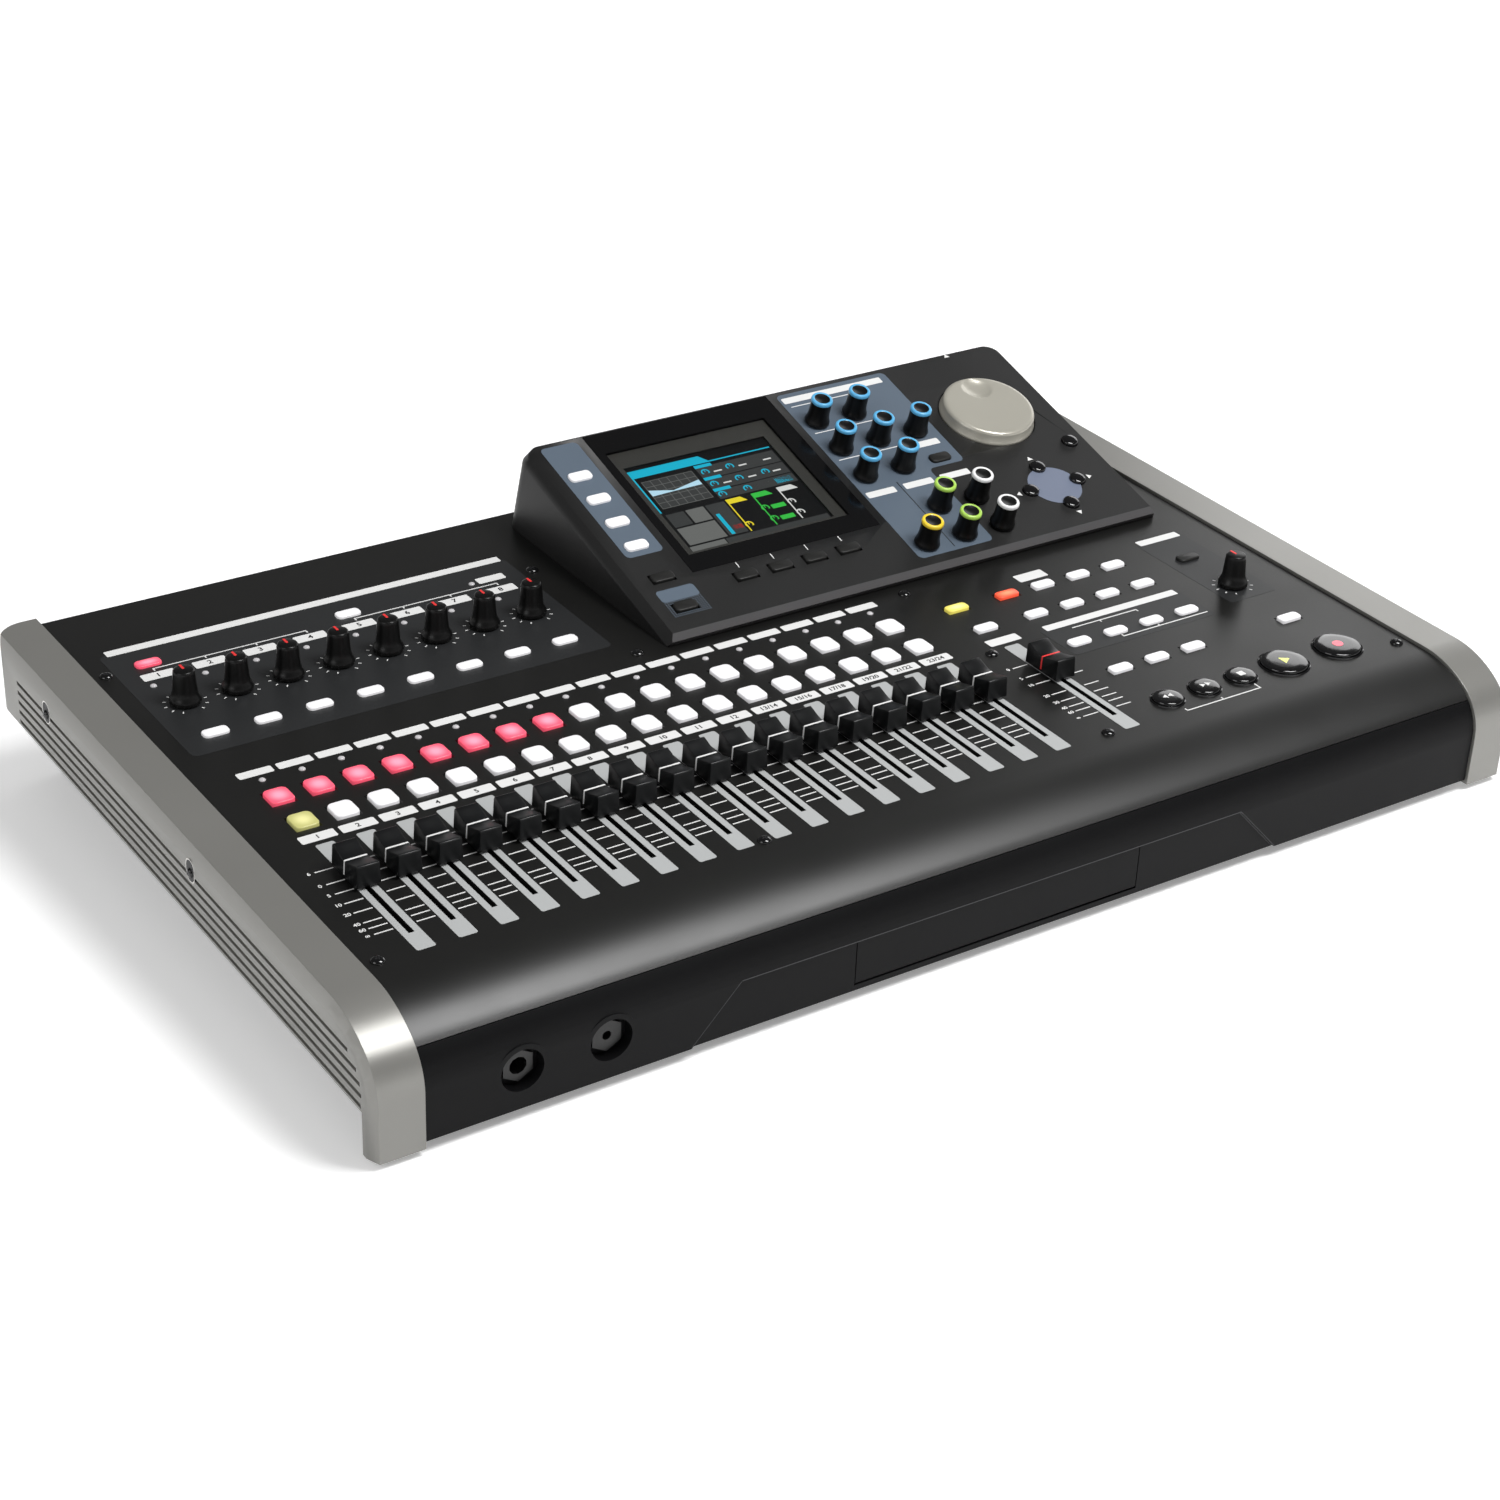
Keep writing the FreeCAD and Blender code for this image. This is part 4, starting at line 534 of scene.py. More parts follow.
# %% panel keys
PLAIN, LIT_RED, LIT_YELLOW, LIT_ORANGE, UNLIT = range(5)
first_lit = [LIT_YELLOW, LIT_ORANGE] + [PLAIN] * 3
key_places = [(x, source_row, PLAIN) for x in trim_xs]
key_places += [(trim_xs[0], phantom_row, LIT_RED), (trim_xs[4], phantom_row, PLAIN)]
for x, finish in zip([master_x] + column_xs, first_lit):
    key_places += [(x, rec_row, finish), (x, select_row, PLAIN)]
key_places += [(x, locate_row, PLAIN) for x in column_xs]
key_places += [(x, punch_row, PLAIN) for x in column_xs[:3] + [last_x]]
key_places += [(last_x, 92.6, UNLIT)]
tool = bmesh.new()
for x, v, finish in key_places:
    stamp(tool, small_key, at(panel, x, v), finish)
finishes = [key_white, key_red, key_yellow, key_orange, key_dark]
piece("panel_keys", tool, finishes, "panel_buttons_body", ["panel_buttons"])

# %% [markdown]
# The same key serves beside and below the screen. The four upper ones on the left are white and the
# others are the dark plastic of the housing.

# %% display keys
LIT_WHITE, UNLIT = range(2)
key_places = [(16.0, w, LIT_WHITE) for w in (99.8, 84.0, 68.2, 52.4)]
key_places += [(16.0, w, UNLIT) for w in (31.4, 12.7)]
key_places += [(x, 21.0, UNLIT) for x in soft_xs] + [(encoder_xs[2], 60.0, UNLIT)]
tool = bmesh.new()
for x, w, finish in key_places:
    stamp(tool, small_key, at(housing, x, w), finish)
piece("display_keys", tool, [key_white, key_dark], "screen_buttons_body", ["screen_buttons"])

# %% [markdown]
# The transport keys are glossy black domes in a ring, each with a sign on top. A sign is a thin plate: a
# circle of three points for a triangle, a rounded square or a disc.

# %% transport keys
def triangle(wide, height=0.12):
    tool = bmesh.new()
    bmesh.ops.create_circle(tool, cap_ends=True, segments=3, radius=wide / 1.732)
    bmesh.ops.rotate(tool, matrix=Matrix.Rotation(math.radians(-90), 3, "Z"), verts=tool.verts)
    bmesh.ops.scale(tool, vec=(0.9, 1.0, 1.0), verts=tool.verts)
    thicken(tool, height)
    return done(tool)


def ring_plate(inside, outside):
    """A thin ring with a soft upper edge."""
    section = [(inside, 0), (outside, 0), (outside - 0.1, 0.35), (inside + 0.2, 0.5), (inside, 0.4)]
    return done(turned(section, 48, closed=True))


sign_green = lit("sign_green", (206, 214, 92), (226, 232, 130), 0.25)
sign_red = lit("sign_red", (224, 62, 84), (236, 110, 124), 0.3)
small_round, big_round = button_shape(12.6, 1.6, 0.12), button_shape(19.5, 1.6, 0.16)
arrow, bar, dot = triangle(2.7), plaque(3.0, 3.0, 0.3, 0.12), spot(4.6, 0.12)
small_top, big_top = 1.68, 1.72
GLOSS, WHITE_SIGN, GREEN_SIGN, RED_SIGN = range(4)
round_keys = [(x, small_round, 7.0) for x in column_xs[:3]]
round_keys += [(x, big_round, 10.6) for x in (play_x, last_x)]
tool = bmesh.new()
for x, shape, radius in round_keys:
    stamp(tool, shape, at(panel, x, transport_row), GLOSS)
for step in (-1.3, 1.3):
    for x, turn in zip(column_xs, (180, 0)):
        stamp(tool, arrow, at(panel, x + step, transport_row, small_top, turn), WHITE_SIGN)
stamp(tool, bar, at(panel, column_xs[2], transport_row, small_top), WHITE_SIGN)
stamp(tool, triangle(5.0), at(panel, play_x, transport_row, big_top), GREEN_SIGN)
stamp(tool, dot, at(panel, last_x, transport_row, big_top), RED_SIGN)
finishes = [gloss_black, white_ink, sign_green, sign_red]
piece("transport_keys", tool, finishes, "transport_buttons_body", ["transport_buttons"])
tool = bmesh.new()
for x, shape, radius in round_keys:
    stamp(tool, ring_plate(radius - 0.5, radius + 0.1), at(panel, x, transport_row), GLOSS)
piece("transport_rings", tool, [gloss_black])

# %% [markdown]
# Four small domes stand round a disc below the jog wheel, one for each way, with a fifth beside the
# wheel. The list of ways also says how far the printed arrows have to be turned later on.

# %% cursor keys
cursor_reach = 12.9
cursor_ways = ((0, 1, 90), (1, 0, 0), (0, -1, -90), (-1, 0, 180))
cursor_round = button_shape(7.4, 1.6, 0.3)
tool = bmesh.new()
for side, rise, turn in cursor_ways:
    x, w = jog_x + cursor_reach * side, cursor_row + cursor_reach * rise
    stamp(tool, cursor_round, at(housing, x, w), GROUND)
stamp(tool, cursor_round, at(housing, jog_x + 26.1, 50.6), GROUND)
piece("cursor_keys", tool, [gloss_black], "cursor_buttons_body", ["cursor_buttons"])

# %% [markdown]
# A fader cap is a block with a dipped back, so that a fingertip finds the middle. Its side outline is drawn
# from a few points and pulled sideways, and the upper part is drawn in a little as a mould needs. A cut on
# each side of the middle and one near the foot leave a band of faces for the colour of the index line.

# %% fader caps
def cap_shape():
    half, foot, line_half, line_foot = 4.85, 1.2, 0.45, 2.2
    outline = [
        (-9.7, foot), (9.7, foot), (9.7, 8.7), (9.3, 9.6), (8.5, 10.0), (6.5, 9.35), (4.4, 8.5), (2.4, 7.9),
        (1.0, 7.7), (-1.0, 7.7), (-2.6, 8.0), (-4.6, 8.6), (-6.8, 9.3), (-9.0, 10.0), (-9.6, 9.75),
        (-9.7, 9.2),
    ]
    tool = bmesh.new()
    tool.faces.new([tool.verts.new((-half, y, z)) for y, z in outline])
    thicken(tool, 2 * half, Vector((1, 0, 0)))
    for point in tool.verts:
        point.co.x *= 1.0 - 0.012 * (point.co.z - foot)
    bmesh.ops.recalc_face_normals(tool, faces=tool.faces)
    soften(tool, [edge for edge in tool.edges if edge.calc_face_angle() > 0.6], 0.3, 2)
    for y in (-line_half, line_half):
        cut(tool, (0, y, 0), (0, 1, 0))
    cut(tool, (0, 0, line_foot), (0, 0, 1))
    for side in tool.faces:
        middle = side.calc_center_median()
        side.material_index = INK if abs(middle.y) < line_half and middle.z > line_foot else GROUND
    return done(tool)


LEVER = 2
cap = cap_shape()
lever = plaque(1.2, 5.0, 0, 15.2)
fader_names = ["fader_%02d" % (index + 1) for index in range(18)] + ["fader_master"]
for node, x in zip(fader_names, slot_xs):
    tool = bmesh.new()
    stamp(tool, cap, at(panel, x, rest_row))
    stamp(tool, lever, at(panel, x, rest_row, -14.0), LEVER)
    line = red_ink if x == master_x else white_ink
    piece(node + "_cap", tool, [cap_plastic, line, unit_steel], node + "_body", [node])

# %% [markdown]
# Trim knobs are soft bells: a wide foot, a waist that curves in, and a slightly tapering grip with a
# rounded rim. A lathe makes them from a short profile. The red pointer is a bar let into the top.

# %% trim knobs
bell = [
    (0, 0.6), (6.0, 0.6), (6.28, 0.9), (6.3, 1.9), (6.15, 2.5), (5.75, 3.2), (5.3, 4.0), (4.98, 5.0),
    (4.8, 6.4), (4.62, 8.6), (4.45, 11.0), (4.32, 13.0), (4.2, 13.9), (3.9, 14.4), (3.4, 14.6), (0, 14.6),
]
trim_shape = done(turned(bell, 40))
pointer = plaque(1.0, 3.6, 0.3, 0.12)
knobs = [("trim_knob_%d" % (index + 1), x, trim_row) for index, x in enumerate(trim_xs)]
knobs += [("monitor_knob", last_x, monitor_row)]
for node, x, v in knobs:
    tool = bmesh.new()
    stamp(tool, trim_shape, at(panel, x, v), GROUND)
    stamp(tool, pointer, at(panel, x, v + 1.9, 14.56), INK)
    piece(node + "_grip", tool, [knob_plastic, red_ink], node + "_body", [node])

# %% [markdown]
# The encoders by the screen carry a coloured ring that tells which part of the picture they change. The
# ring is a soft collar round the top edge, spun from its own closed section in the same lathe.

# %% encoders
blue, green, white, yellow = [
    satin("ring_" + name, colour, 0.3, depth=0.003, spread=0.06, coat=0.3) for name, colour in (
        ("blue", (84, 166, 212)), ("green", (164, 206, 84)), ("white", (228, 228, 228)),
        ("yellow", (236, 204, 48)),
    )
]
barrel = [
    (0, 0.6), (5.35, 0.6), (5.6, 0.9), (5.6, 1.8), (5.3, 2.6), (4.95, 3.6), (4.72, 5.2), (4.6, 7.5),
    (4.6, 10.0), (4.66, 12.0), (4.6, 12.9), (4.3, 13.2), (3.4, 13.2), (3.0, 12.95), (0, 12.85),
]
encoder_shape = done(turned(barrel, 40))
section = [
    (3.3, 12.7), (3.45, 13.2), (3.9, 13.42), (4.4, 13.32), (4.78, 12.92), (4.86, 12.2), (4.84, 11.8),
    (4.5, 11.7), (4.2, 12.0),
]
ring = done(turned(section, 40, closed=True))
encoder_rows = (
    (99.5, (blue, blue, None)), (79.75, (blue, blue, blue)), (60.0, (blue, blue, None)),
    (31.5, (None, green, white)), (12.0, (yellow, green, white)),
)
places = [(x, w, colour) for w, row in encoder_rows for x, colour in zip(encoder_xs, row) if colour]
for index, (x, w, colour) in enumerate(places):
    node = "encoder_knob_%02d" % (index + 1)
    tool = bmesh.new()
    stamp(tool, encoder_shape, at(housing, x, w), GROUND)
    stamp(tool, ring, at(housing, x, w), INK)
    piece(node + "_grip", tool, [knob_plastic, colour], node + "_body", [node])

# %% [markdown]
# The jog wheel is a turned metal disc. Its top is spun with many rings, so that the finger dimple can be
# pressed in afterwards by lowering the points near one spot along a smooth curve.

# %% jog wheel
top, dimple_x, dimple_y, dimple_reach, dimple_deep = 5.5, 1.8, 12.6, 6.8, 1.7
rings = [(0.95 * step, top) for step in range(21)]
rim = [
    (0, -4.8), (6, -4.8), (6, -1.2), (21.5, -1.2), (21.8, -0.6), (21.75, 0.4), (21.5, 0.7), (21.0, 4.0),
    (20.75, 4.7), (20.2, 5.2), (19.6, 5.42),
]
tool = turned(rim + rings[::-1], 120)
for point in tool.verts:
    reach = math.hypot(point.co.x - dimple_x, point.co.y - dimple_y) / dimple_reach
    if point.co.z > top - 0.5 and reach < 1:
        point.co.z -= dimple_deep * (1 - reach ** 2) ** 0.7
wheel = done(tool)
tool = bmesh.new()
stamp(tool, wheel, at(housing, jog_x, jog_row))
piece("jog_wheel_disc", tool, [jog_silver], "jog_wheel_body", ["jog_wheel"])

# %% [markdown]
# Screws hold the panel down. Each is a low dome from the lathe, with two crossed bars of shadow for its
# recess.

# %% panel screws
def fasten(target, kind, surface, x, y, z, turn, finishes):
    """A screw: its head, and two crossed dark bars of painted shade for its recess."""
    head, bar, top = kind
    stamp(target, head, at(surface, x, y, z), finishes[0])
    for angle in (turn, turn + 90):
        stamp(target, bar, at(surface, x, y, z + top, angle), finishes[1])


dome = [(0, 0.0), (2.7, 0.0), (2.7, 0.25), (2.4, 0.75), (1.7, 1.15), (0.9, 1.32), (0, 1.35)]
panel_screw = (done(turned(dome, 24)), plaque(2.4, 0.55, 0.1, 0.1), 1.27)
tool = bmesh.new()
for x, v in (
    (-231.8, -9.7), (231.8, -9.7), (-77.8, -9.9), (80.4, -9.8), (-232.0, 218.1), (-42.8, 218.6),
    (-42.9, 134.1), (81.0, 124.5), (80.5, 63.9),
):
    # The second finish is the dark one, painted shade in each screw's recess.
    fasten(tool, panel_screw, panel, x, v, 0, 20, (GROUND, INK))
piece("panel_screws", tool, [gloss_black, dark_ink_and_painted_shade])

# %% [markdown]
# Everything printed on the panel is a very thin plate on its surface. A box is given by its left, low,
# right and high edge. The grey strip round a fader slot is made by cutting a long plate with four planes
# and leaving out the middle.

# %% printing tools
zone_high = 0.05


def mark(target, surface, box, finish=GROUND, corner=0.0, base=0.0, height=0.07):
    """A thin printed plate. What is printed on a zone has the zone's height as its base."""
    left, low, right, high = box
    middle = at(surface, (left + right) / 2, (low + high) / 2, base)
    stamp(target, plaque(right - left, high - low, corner, height), middle, finish)


def surround(target, surface, outer, inner, finish, corner, base=0.0, height=0.07):
    """A plate with a rectangular hole."""
    tool = flat(outer[2] - outer[0], outer[3] - outer[1], corner)
    centre = Vector(((outer[0] + outer[2]) / 2, (outer[1] + outer[3]) / 2, 0))
    bmesh.ops.translate(tool, vec=centre, verts=tool.verts)
    for index, level in enumerate(inner):
        away = Vector((0, 1, 0) if index % 2 else (1, 0, 0))
        cut(tool, away * level, away)
    middle = []
    for side in tool.faces:
        x, y, z = side.calc_center_median()
        if inner[0] < x < inner[2] and inner[1] < y < inner[3]:
            middle.append(side)
    bmesh.ops.delete(tool, geom=middle, context="FACES")
    thicken(tool, height)
    stamp(target, done(tool), at(surface, 0, 0, base), finish)


def number(text, tall, height=0.06):
    """A number as a mesh, by the height of its digits."""
    curve = bpy.data.curves.new("number", "FONT")
    curve.body = text
    curve.size = tall / 0.73
    curve.align_x = "CENTER"
    curve.align_y = "CENTER"
    curve.resolution_u = 3
    curve.offset = 0.03 * tall
    curve.extrude = height / 2
    item = bpy.data.objects.new("number", curve)
    mesh = bpy.data.meshes.new_from_object(item)
    bpy.data.objects.remove(item)
    return mesh


print("number 8 has", len(number("8", 2.0).vertices), "points")

# %% [markdown]
# The marks of a scale stand wider apart near the top, where a fader is finest. The master fader has a
# scale of its own, on both sides of its slot. The numbers are the usual ones for a level in decibels, with
# a lying 8 for the end of the scale.

# %% fader print
scale_rows = [50.1, 41.1, 34.2, 27.1, 20.3, 13.2, 9.2, 5.1]
master_rows = [49.8, 41.3, 35.0, 25.0, 19.0, 14.0, 10.0, 5.1]
tool = bmesh.new()
for x in slot_xs:
    surround(tool, panel, (x - 3.65, -11.0, x + 3.65, 66.2), (x - 1.1, 0.0, x + 1.1, 55.2), GROUND, 0.9)
tick = plaque(7.2, 0.55)
scales = [(x + 8.1, scale_rows) for x in slot_xs[:17]] + [(slot_xs[0] - 8.0, scale_rows)]
scales += [(master_x - 8.0, master_rows), (master_x + 8.4, master_rows)]
for x, rows in scales:
    for v in rows:
        stamp(tool, tick, at(panel, x, v), INK)
for words, rows, x in (
    (["6", "0", "5", "10", "20", "40", "60"], scale_rows, slot_xs[0] - 13.9),
    (["0", "5", "10", "20", "30", "40", "60"], master_rows, master_x - 13.9),
):
    for word, v in zip(words, rows):
        stamp(tool, number(word, 1.9), at(panel, x, v, 0.04), INK)
    stamp(tool, number("8", 1.7), at(panel, x, rows[-1], 0.04, 90), INK)
piece("fader_print", tool, [grey_ink, white_ink])

# %% [markdown]
# Above each fader is a white pill with its track number, and higher up a blank pill and a small lamp. The
# last six faders carry two tracks each, so their pills hold a pair of numbers.

# %% pills and lamps
LAMP = 2
tracks = [str(n) for n in range(1, 13)] + ["%d/%d" % (n, n + 1) for n in range(13, 24, 2)]
pill = plaque(14.1, 5.2, 0.7)
thin_pill = plaque(14.1, 4.5, 0.7)
lamp = done(turned([(0, 0), (1.35, 0), (1.35, 0.15), (1.1, 0.5), (0.6, 0.72), (0, 0.78)], 20))
tool = bmesh.new()
for x, text in zip(strip_xs, tracks):
    stamp(tool, pill, at(panel, x, pill_row), GROUND)
    stamp(tool, number(text, 2.5), at(panel, x, pill_row, 0.08), INK)
    stamp(tool, thin_pill, at(panel, x, blank_row), GROUND)
    stamp(tool, lamp, at(panel, x + 0.1, lamp_row), LAMP)
mark(tool, panel, (84.0, 68.7, 99.6, 73.9), GROUND, 0.7)
for index, x in enumerate(trim_xs):
    mark(tool, panel, (x - 6.8, 206.8, x + 6.9, 212.3), GROUND, 0.6, zone_high)
    stamp(tool, number(str(index + 1), 2.9), at(panel, x, 209.5, 0.12), INK)
    stamp(tool, lamp, at(panel, x - 5.3, 202.2, zone_high), LAMP)
stamp(tool, lamp, at(panel, -71.0, 219.4, zone_high), LAMP)
mark(tool, panel, (-68.0, 217.9, -55.4, 222.8), GROUND, 0.7, zone_high)
piece("pills_and_lamps", tool, [white_ink, dark_ink_and_painted_shade, lamp_grey])

# %% [markdown]
# The input section and two groups on the right lie on zones printed a little lighter than the panel. White
# bars head each group, and thin brackets show which keys work together. Short marks fan round each knob.

# %% zones, bars and brackets
def bracket(target, surface, left, right, level, drop, stops, base):
    """A thin line with short legs at the given places."""
    half = 0.3
    mark(target, surface, (left - half, level - half, right + half, level + half), INK, 0, base)
    for x in stops:
        low, high = sorted((level, level + drop))
        mark(target, surface, (x - half, low, x + half, high), INK, 0, base)


tool = bmesh.new()
for *box, corner in (
    (-228.8, 144.3, -48.0, 234.0, 2.8), (109.5, 46.3, 183.6, 70.6, 1.6), (196.0, 51.0, 221.2, 113.6, 1.6),
):
    mark(tool, panel, box, GROUND, corner, 0, zone_high)
for *box, corner, base in (
    (-225.4, 232.5, -49.8, 237.0, 0.5, zone_high), (112.5, 68.5, 181.9, 72.7, 0.5, zone_high),
    (197.5, 111.4, 219.7, 115.8, 0.6, zone_high), (130.4, 109.2, 145.0, 115.4, 0.6, 0),
):
    mark(tool, panel, box, INK, corner, base)
for row in (
    (-213.8, -148.5, 215.3, -1.8, (-213.8, -192.2, -170.4, -148.5), zone_high),
    (-126.8, -61.7, 215.3, -1.8, (-126.8, -105.2, -83.6, -61.7), zone_high),
    (123.5, 156.8, 65.9, -1.5, (137.4, 156.8), zone_high),
    (137.3, 181.6, 49.9, 1.5, (137.3, 156.4), zone_high),
    (118.9, 156.6, -11.3, 1.6, (118.9, 137.5), 0),
):
    bracket(tool, panel, *row)
mark(tool, panel, (156.3, -11.3, 156.9, -6.2), INK)
knob_tick = plaque(1.3, 0.45)
out = Matrix.Translation((8.1, 0, 0))
for node, x, v in knobs:
    for step in range(11):
        stamp(tool, knob_tick, at(panel, x, v, zone_high, 240 - 30 * step) @ out, INK)
piece("panel_print", tool, [panel_zone, white_ink])

# %% [markdown]
# On the display housing the print is blue-grey with rounded corners. The zone behind the encoders is one
# L-shaped field. The lowest key on the left stands in a small field of dots.

# %% housing print
def field(points, corner, height=0.05):
    """A flat field from its corner points, each corner rounded."""
    tool = bmesh.new()
    tool.faces.new([tool.verts.new((x, y, 0)) for x, y in points])
    soften(tool, tool.verts[:], corner, 5, "VERTICES")
    thicken(tool, height)
    return done(tool)


DISC, SEAM = 2, 3
tool = bmesh.new()
mark(tool, housing, (8.3, 46.5, 26.2, 121.6), GROUND, 2.4, 0, zone_high)
mark(tool, housing, (8.3, 17.2, 26.2, 24.4), GROUND, 1.6, 0, zone_high)
corners = [(128.0, 4.6), (166.8, 4.6), (166.8, 55.2), (186.4, 55.2), (186.4, 121.6), (128.0, 121.6)]
stamp(tool, field(corners, 2.6), at(housing, 0, 0), GROUND)
stamp(tool, spot(24.6, zone_high, 48), at(housing, jog_x + 0.4, cursor_row), DISC)
for *box, base in (
    (129.3, 115.2, 182.4, 119.0, zone_high), (169.0, 69.0, 182.8, 72.8, zone_high),
    (129.3, 46.3, 144.2, 50.0, zone_high), (149.0, 46.3, 164.2, 50.0, zone_high),
    (168.6, 46.3, 183.8, 50.0, 0),
):
    mark(tool, housing, box, INK, 0.6, base)
for w in (112.5, 92.8, 73.2):
    for left, right in ((131.0, 149.6), (152.4, 166.2)):
        mark(tool, housing, (left, w - 0.25, right, w + 0.25), INK, 0, zone_high)
mark(tool, housing, (147.1, 6.8, 147.5, 52.0), SEAM, 0, zone_high)
for x in soft_xs:
    mark(tool, housing, (x - 0.2, 26.2, x + 0.2, 29.4), INK)
arrow = triangle(2.9, 0.07)
for side, rise, turn in cursor_ways:
    stamp(tool, arrow, at(housing, jog_x + 0.2 + 19.3 * side, cursor_row + 19.2 * rise, 0, turn), INK)
stamp(tool, arrow, at(housing, 222.8, 122.6, 0, 90), INK)
dots = spot(0.62, 0.04, 8)
for row in range(9):
    for column in range(17):
        x, w = 8.9 + 1.05 * column, 8.4 + 1.05 * row
        if abs(x - 16.0) > 5.6 or abs(w - 12.7) > 2.9:
            stamp(tool, dots, at(housing, x, w), GROUND)
piece("housing_print", tool, [blue_zone, white_ink, disc_zone, dark_ink_and_painted_shade])

# %% [markdown]
# The screen is set back behind a glossy black frame. Under the pane lies a grey surround, then the picture:
# a dark ground with tiles, small ring dials and slanted tabs in cyan, yellow and green, all a little bright.
# A real screen is made of tiny points, so each colour has a fine grid in it.

# %% screen colours
pane_clear = Finish("pane_clear", {"Base Color": tint(8, 8, 9), "Roughness": 0.06, "Alpha": 0.12})
pane_clear.material.surface_render_method = "BLENDED"


def glow(name, colour):
    colour = tint(*colour)
    finish = Finish(name, {"Roughness": 0.4, "Specular IOR Level": 0.2, "Emission Strength": 1.25})
    place = finish.add("ShaderNodeTexCoord", output="Object")
    values = {"Vector": place, "Scale": 4200.0, "Randomness": 0.0}
    grid = finish.add("ShaderNodeTexVoronoi", {"distance": "CHEBYCHEV"}, values, 0)
    shade = finish.blend(grid * 0.5, colour, scaled(colour, 0.6))
    off = finish.blend(0.92, shade, tint(0, 0, 0))
    finish.feed(finish.shader, {"Base Color": off, "Emission Color": shade})
    return finish.material


screen_colours = [glow("screen_" + name, parts) for name, parts in (
    ("dark", (16, 17, 18)), ("tile", (104, 106, 104)), ("band", (58, 60, 60)), ("cyan", (24, 176, 206)),
    ("pale", (182, 222, 240)), ("yellow", (232, 214, 48)), ("green", (56, 190, 70)),
    ("white", (214, 216, 214)), ("red", (150, 44, 40)),
)]
print("screen colours ready")

# %% [markdown]
# The picture is built from thin plates too, a few hundredths of a millimetre above each other, so that it
# stays sharp from close by. Each kind of thing in it, such as a tab or a dial, has one small helper.

# %% screen picture
screen = housing @ Matrix.Translation((0.0384, 0.0432, -0.00246))
DARK, TILE, BAND, CYAN, PALE, YELLOW, GREEN, WHITE, RED = range(9)


def tab(target, left, low, right, high, finish, lean=3.0):
    """A heading with a slanted right end."""
    shape = field([(left, low), (right + lean, low), (right, high), (left, high)], 0.3, 0.03)
    stamp(target, shape, at(screen, 0, 0, 0.12), finish)


def dial(target, x, y, finish):
    """A ring that is open at the bottom, with a pointer."""
    stamp(target, screen_ring, at(screen, x, y, 0.12), finish)
    mark(target, screen, (x - 0.2, y, x + 0.2, y + 1.7), finish, 0, 0.12, 0.03)


tool = bmesh.new()
bmesh.ops.create_circle(tool, segments=24, radius=2.0)
bmesh.ops.create_circle(tool, segments=24, radius=1.35)
bmesh.ops.bridge_loops(tool, edges=tool.edges[:])
cut(tool, (0, -1.0, 0), (0, -1, 0), drop=True)
thicken(tool, 0.03)
screen_ring = done(tool)


def tile(target, box, finish, level, corner=0.0):
    """A plate of the picture, at its own level."""
    mark(target, screen, box, finish, corner, level, 0.03)


tool = bmesh.new()
mark(tool, screen, (-1.25, -1.1, 70.45, 57.2), DARK, 0, 0, 0.05)
tile(tool, (0.0, 50.4, 69.6, 51.1), CYAN, 0.09)
tile(tool, (0.0, 26.6, 0.8, 50.4), CYAN, 0.09)
tab(tool, 0.0, 51.1, 35.5, 55.2, CYAN)
for low, high in ((40.6, 48.4), (32.8, 40.0), (26.6, 32.2)):
    tile(tool, (30.0, low, 69.6, high), BAND, 0.06)
    tile(tool, (30.0, high - 0.6, 38.5, high + 1.3), CYAN, 0.09, 0.2)
mark(tool, screen, (2.6, 28.8, 27.8, 47.4), BAND, 0, 0.06, 0.02)
for step in range(7):
    mark(tool, screen, (2.6 + 4.15 * step, 28.8, 2.85 + 4.15 * step, 47.4), TILE, 0, 0.085, 0.02)
for step in range(6):
    mark(tool, screen, (2.6, 28.8 + 3.67 * step, 27.8, 29.05 + 3.67 * step), TILE, 0, 0.085, 0.02)
for corners in (
    [(2.8, 37.6), (13.6, 37.9), (13.6, 38.4), (2.8, 41.6)],
    [(13.6, 37.9), (27.6, 38.0), (27.6, 41.2), (13.6, 38.4)],
):
    stamp(tool, field(corners, 0.1, 0.03), at(screen, 0, 0, 0.12), PALE)
for row in (
    (33.2, 44.6, CYAN), (45.6, 44.6, CYAN), (32.8, 36.4, CYAN), (45.4, 36.4, CYAN), (58.8, 36.4, CYAN),
    (32.6, 29.2, CYAN), (45.2, 29.2, CYAN), (33.0, 8.0, YELLOW), (45.6, 15.2, GREEN), (45.6, 7.8, GREEN),
    (59.0, 15.2, WHITE), (59.0, 7.8, WHITE),
):
    dial(tool, *row)
for *box, colour in (
    (59.5, 27.6, 67.8, 31.2, CYAN), (48.6, 13.6, 55.4, 16.2, GREEN), (48.6, 6.0, 55.4, 8.6, GREEN),
    (1.4, 16.4, 10.2, 25.0, BAND), (11.2, 16.4, 20.0, 25.0, TILE), (1.4, 4.4, 20.0, 15.4, TILE),
    (0.4, 0.2, 17.6, 3.4, TILE), (21.0, 4.4, 30.4, 25.0, BAND), (25.6, 7.2, 30.0, 9.8, RED),
    (18.2, 0.2, 69.6, 3.4, BAND),
):
    tile(tool, box, colour, 0.06, 0.3)
tile(tool, (22.4, 4.8, 24.2, 18.4), CYAN, 0.1)
for left, colour in ((31.4, YELLOW), (44.2, GREEN), (57.2, WHITE)):
    tile(tool, (left, 4.0, left + 0.6, 25.4), colour, 0.09)
    tab(tool, left, 22.4, left + 7.4, 25.4, colour, 2.2)
for index in range(6):
    x, y = 37.0 + 12.6 * (index % 3), 43.4 - 8.1 * (index // 3)
    tile(tool, (x, y, x + 4.0, y + 0.8), WHITE, 0.1, 0.1)
piece("screen_picture", tool, screen_colours)

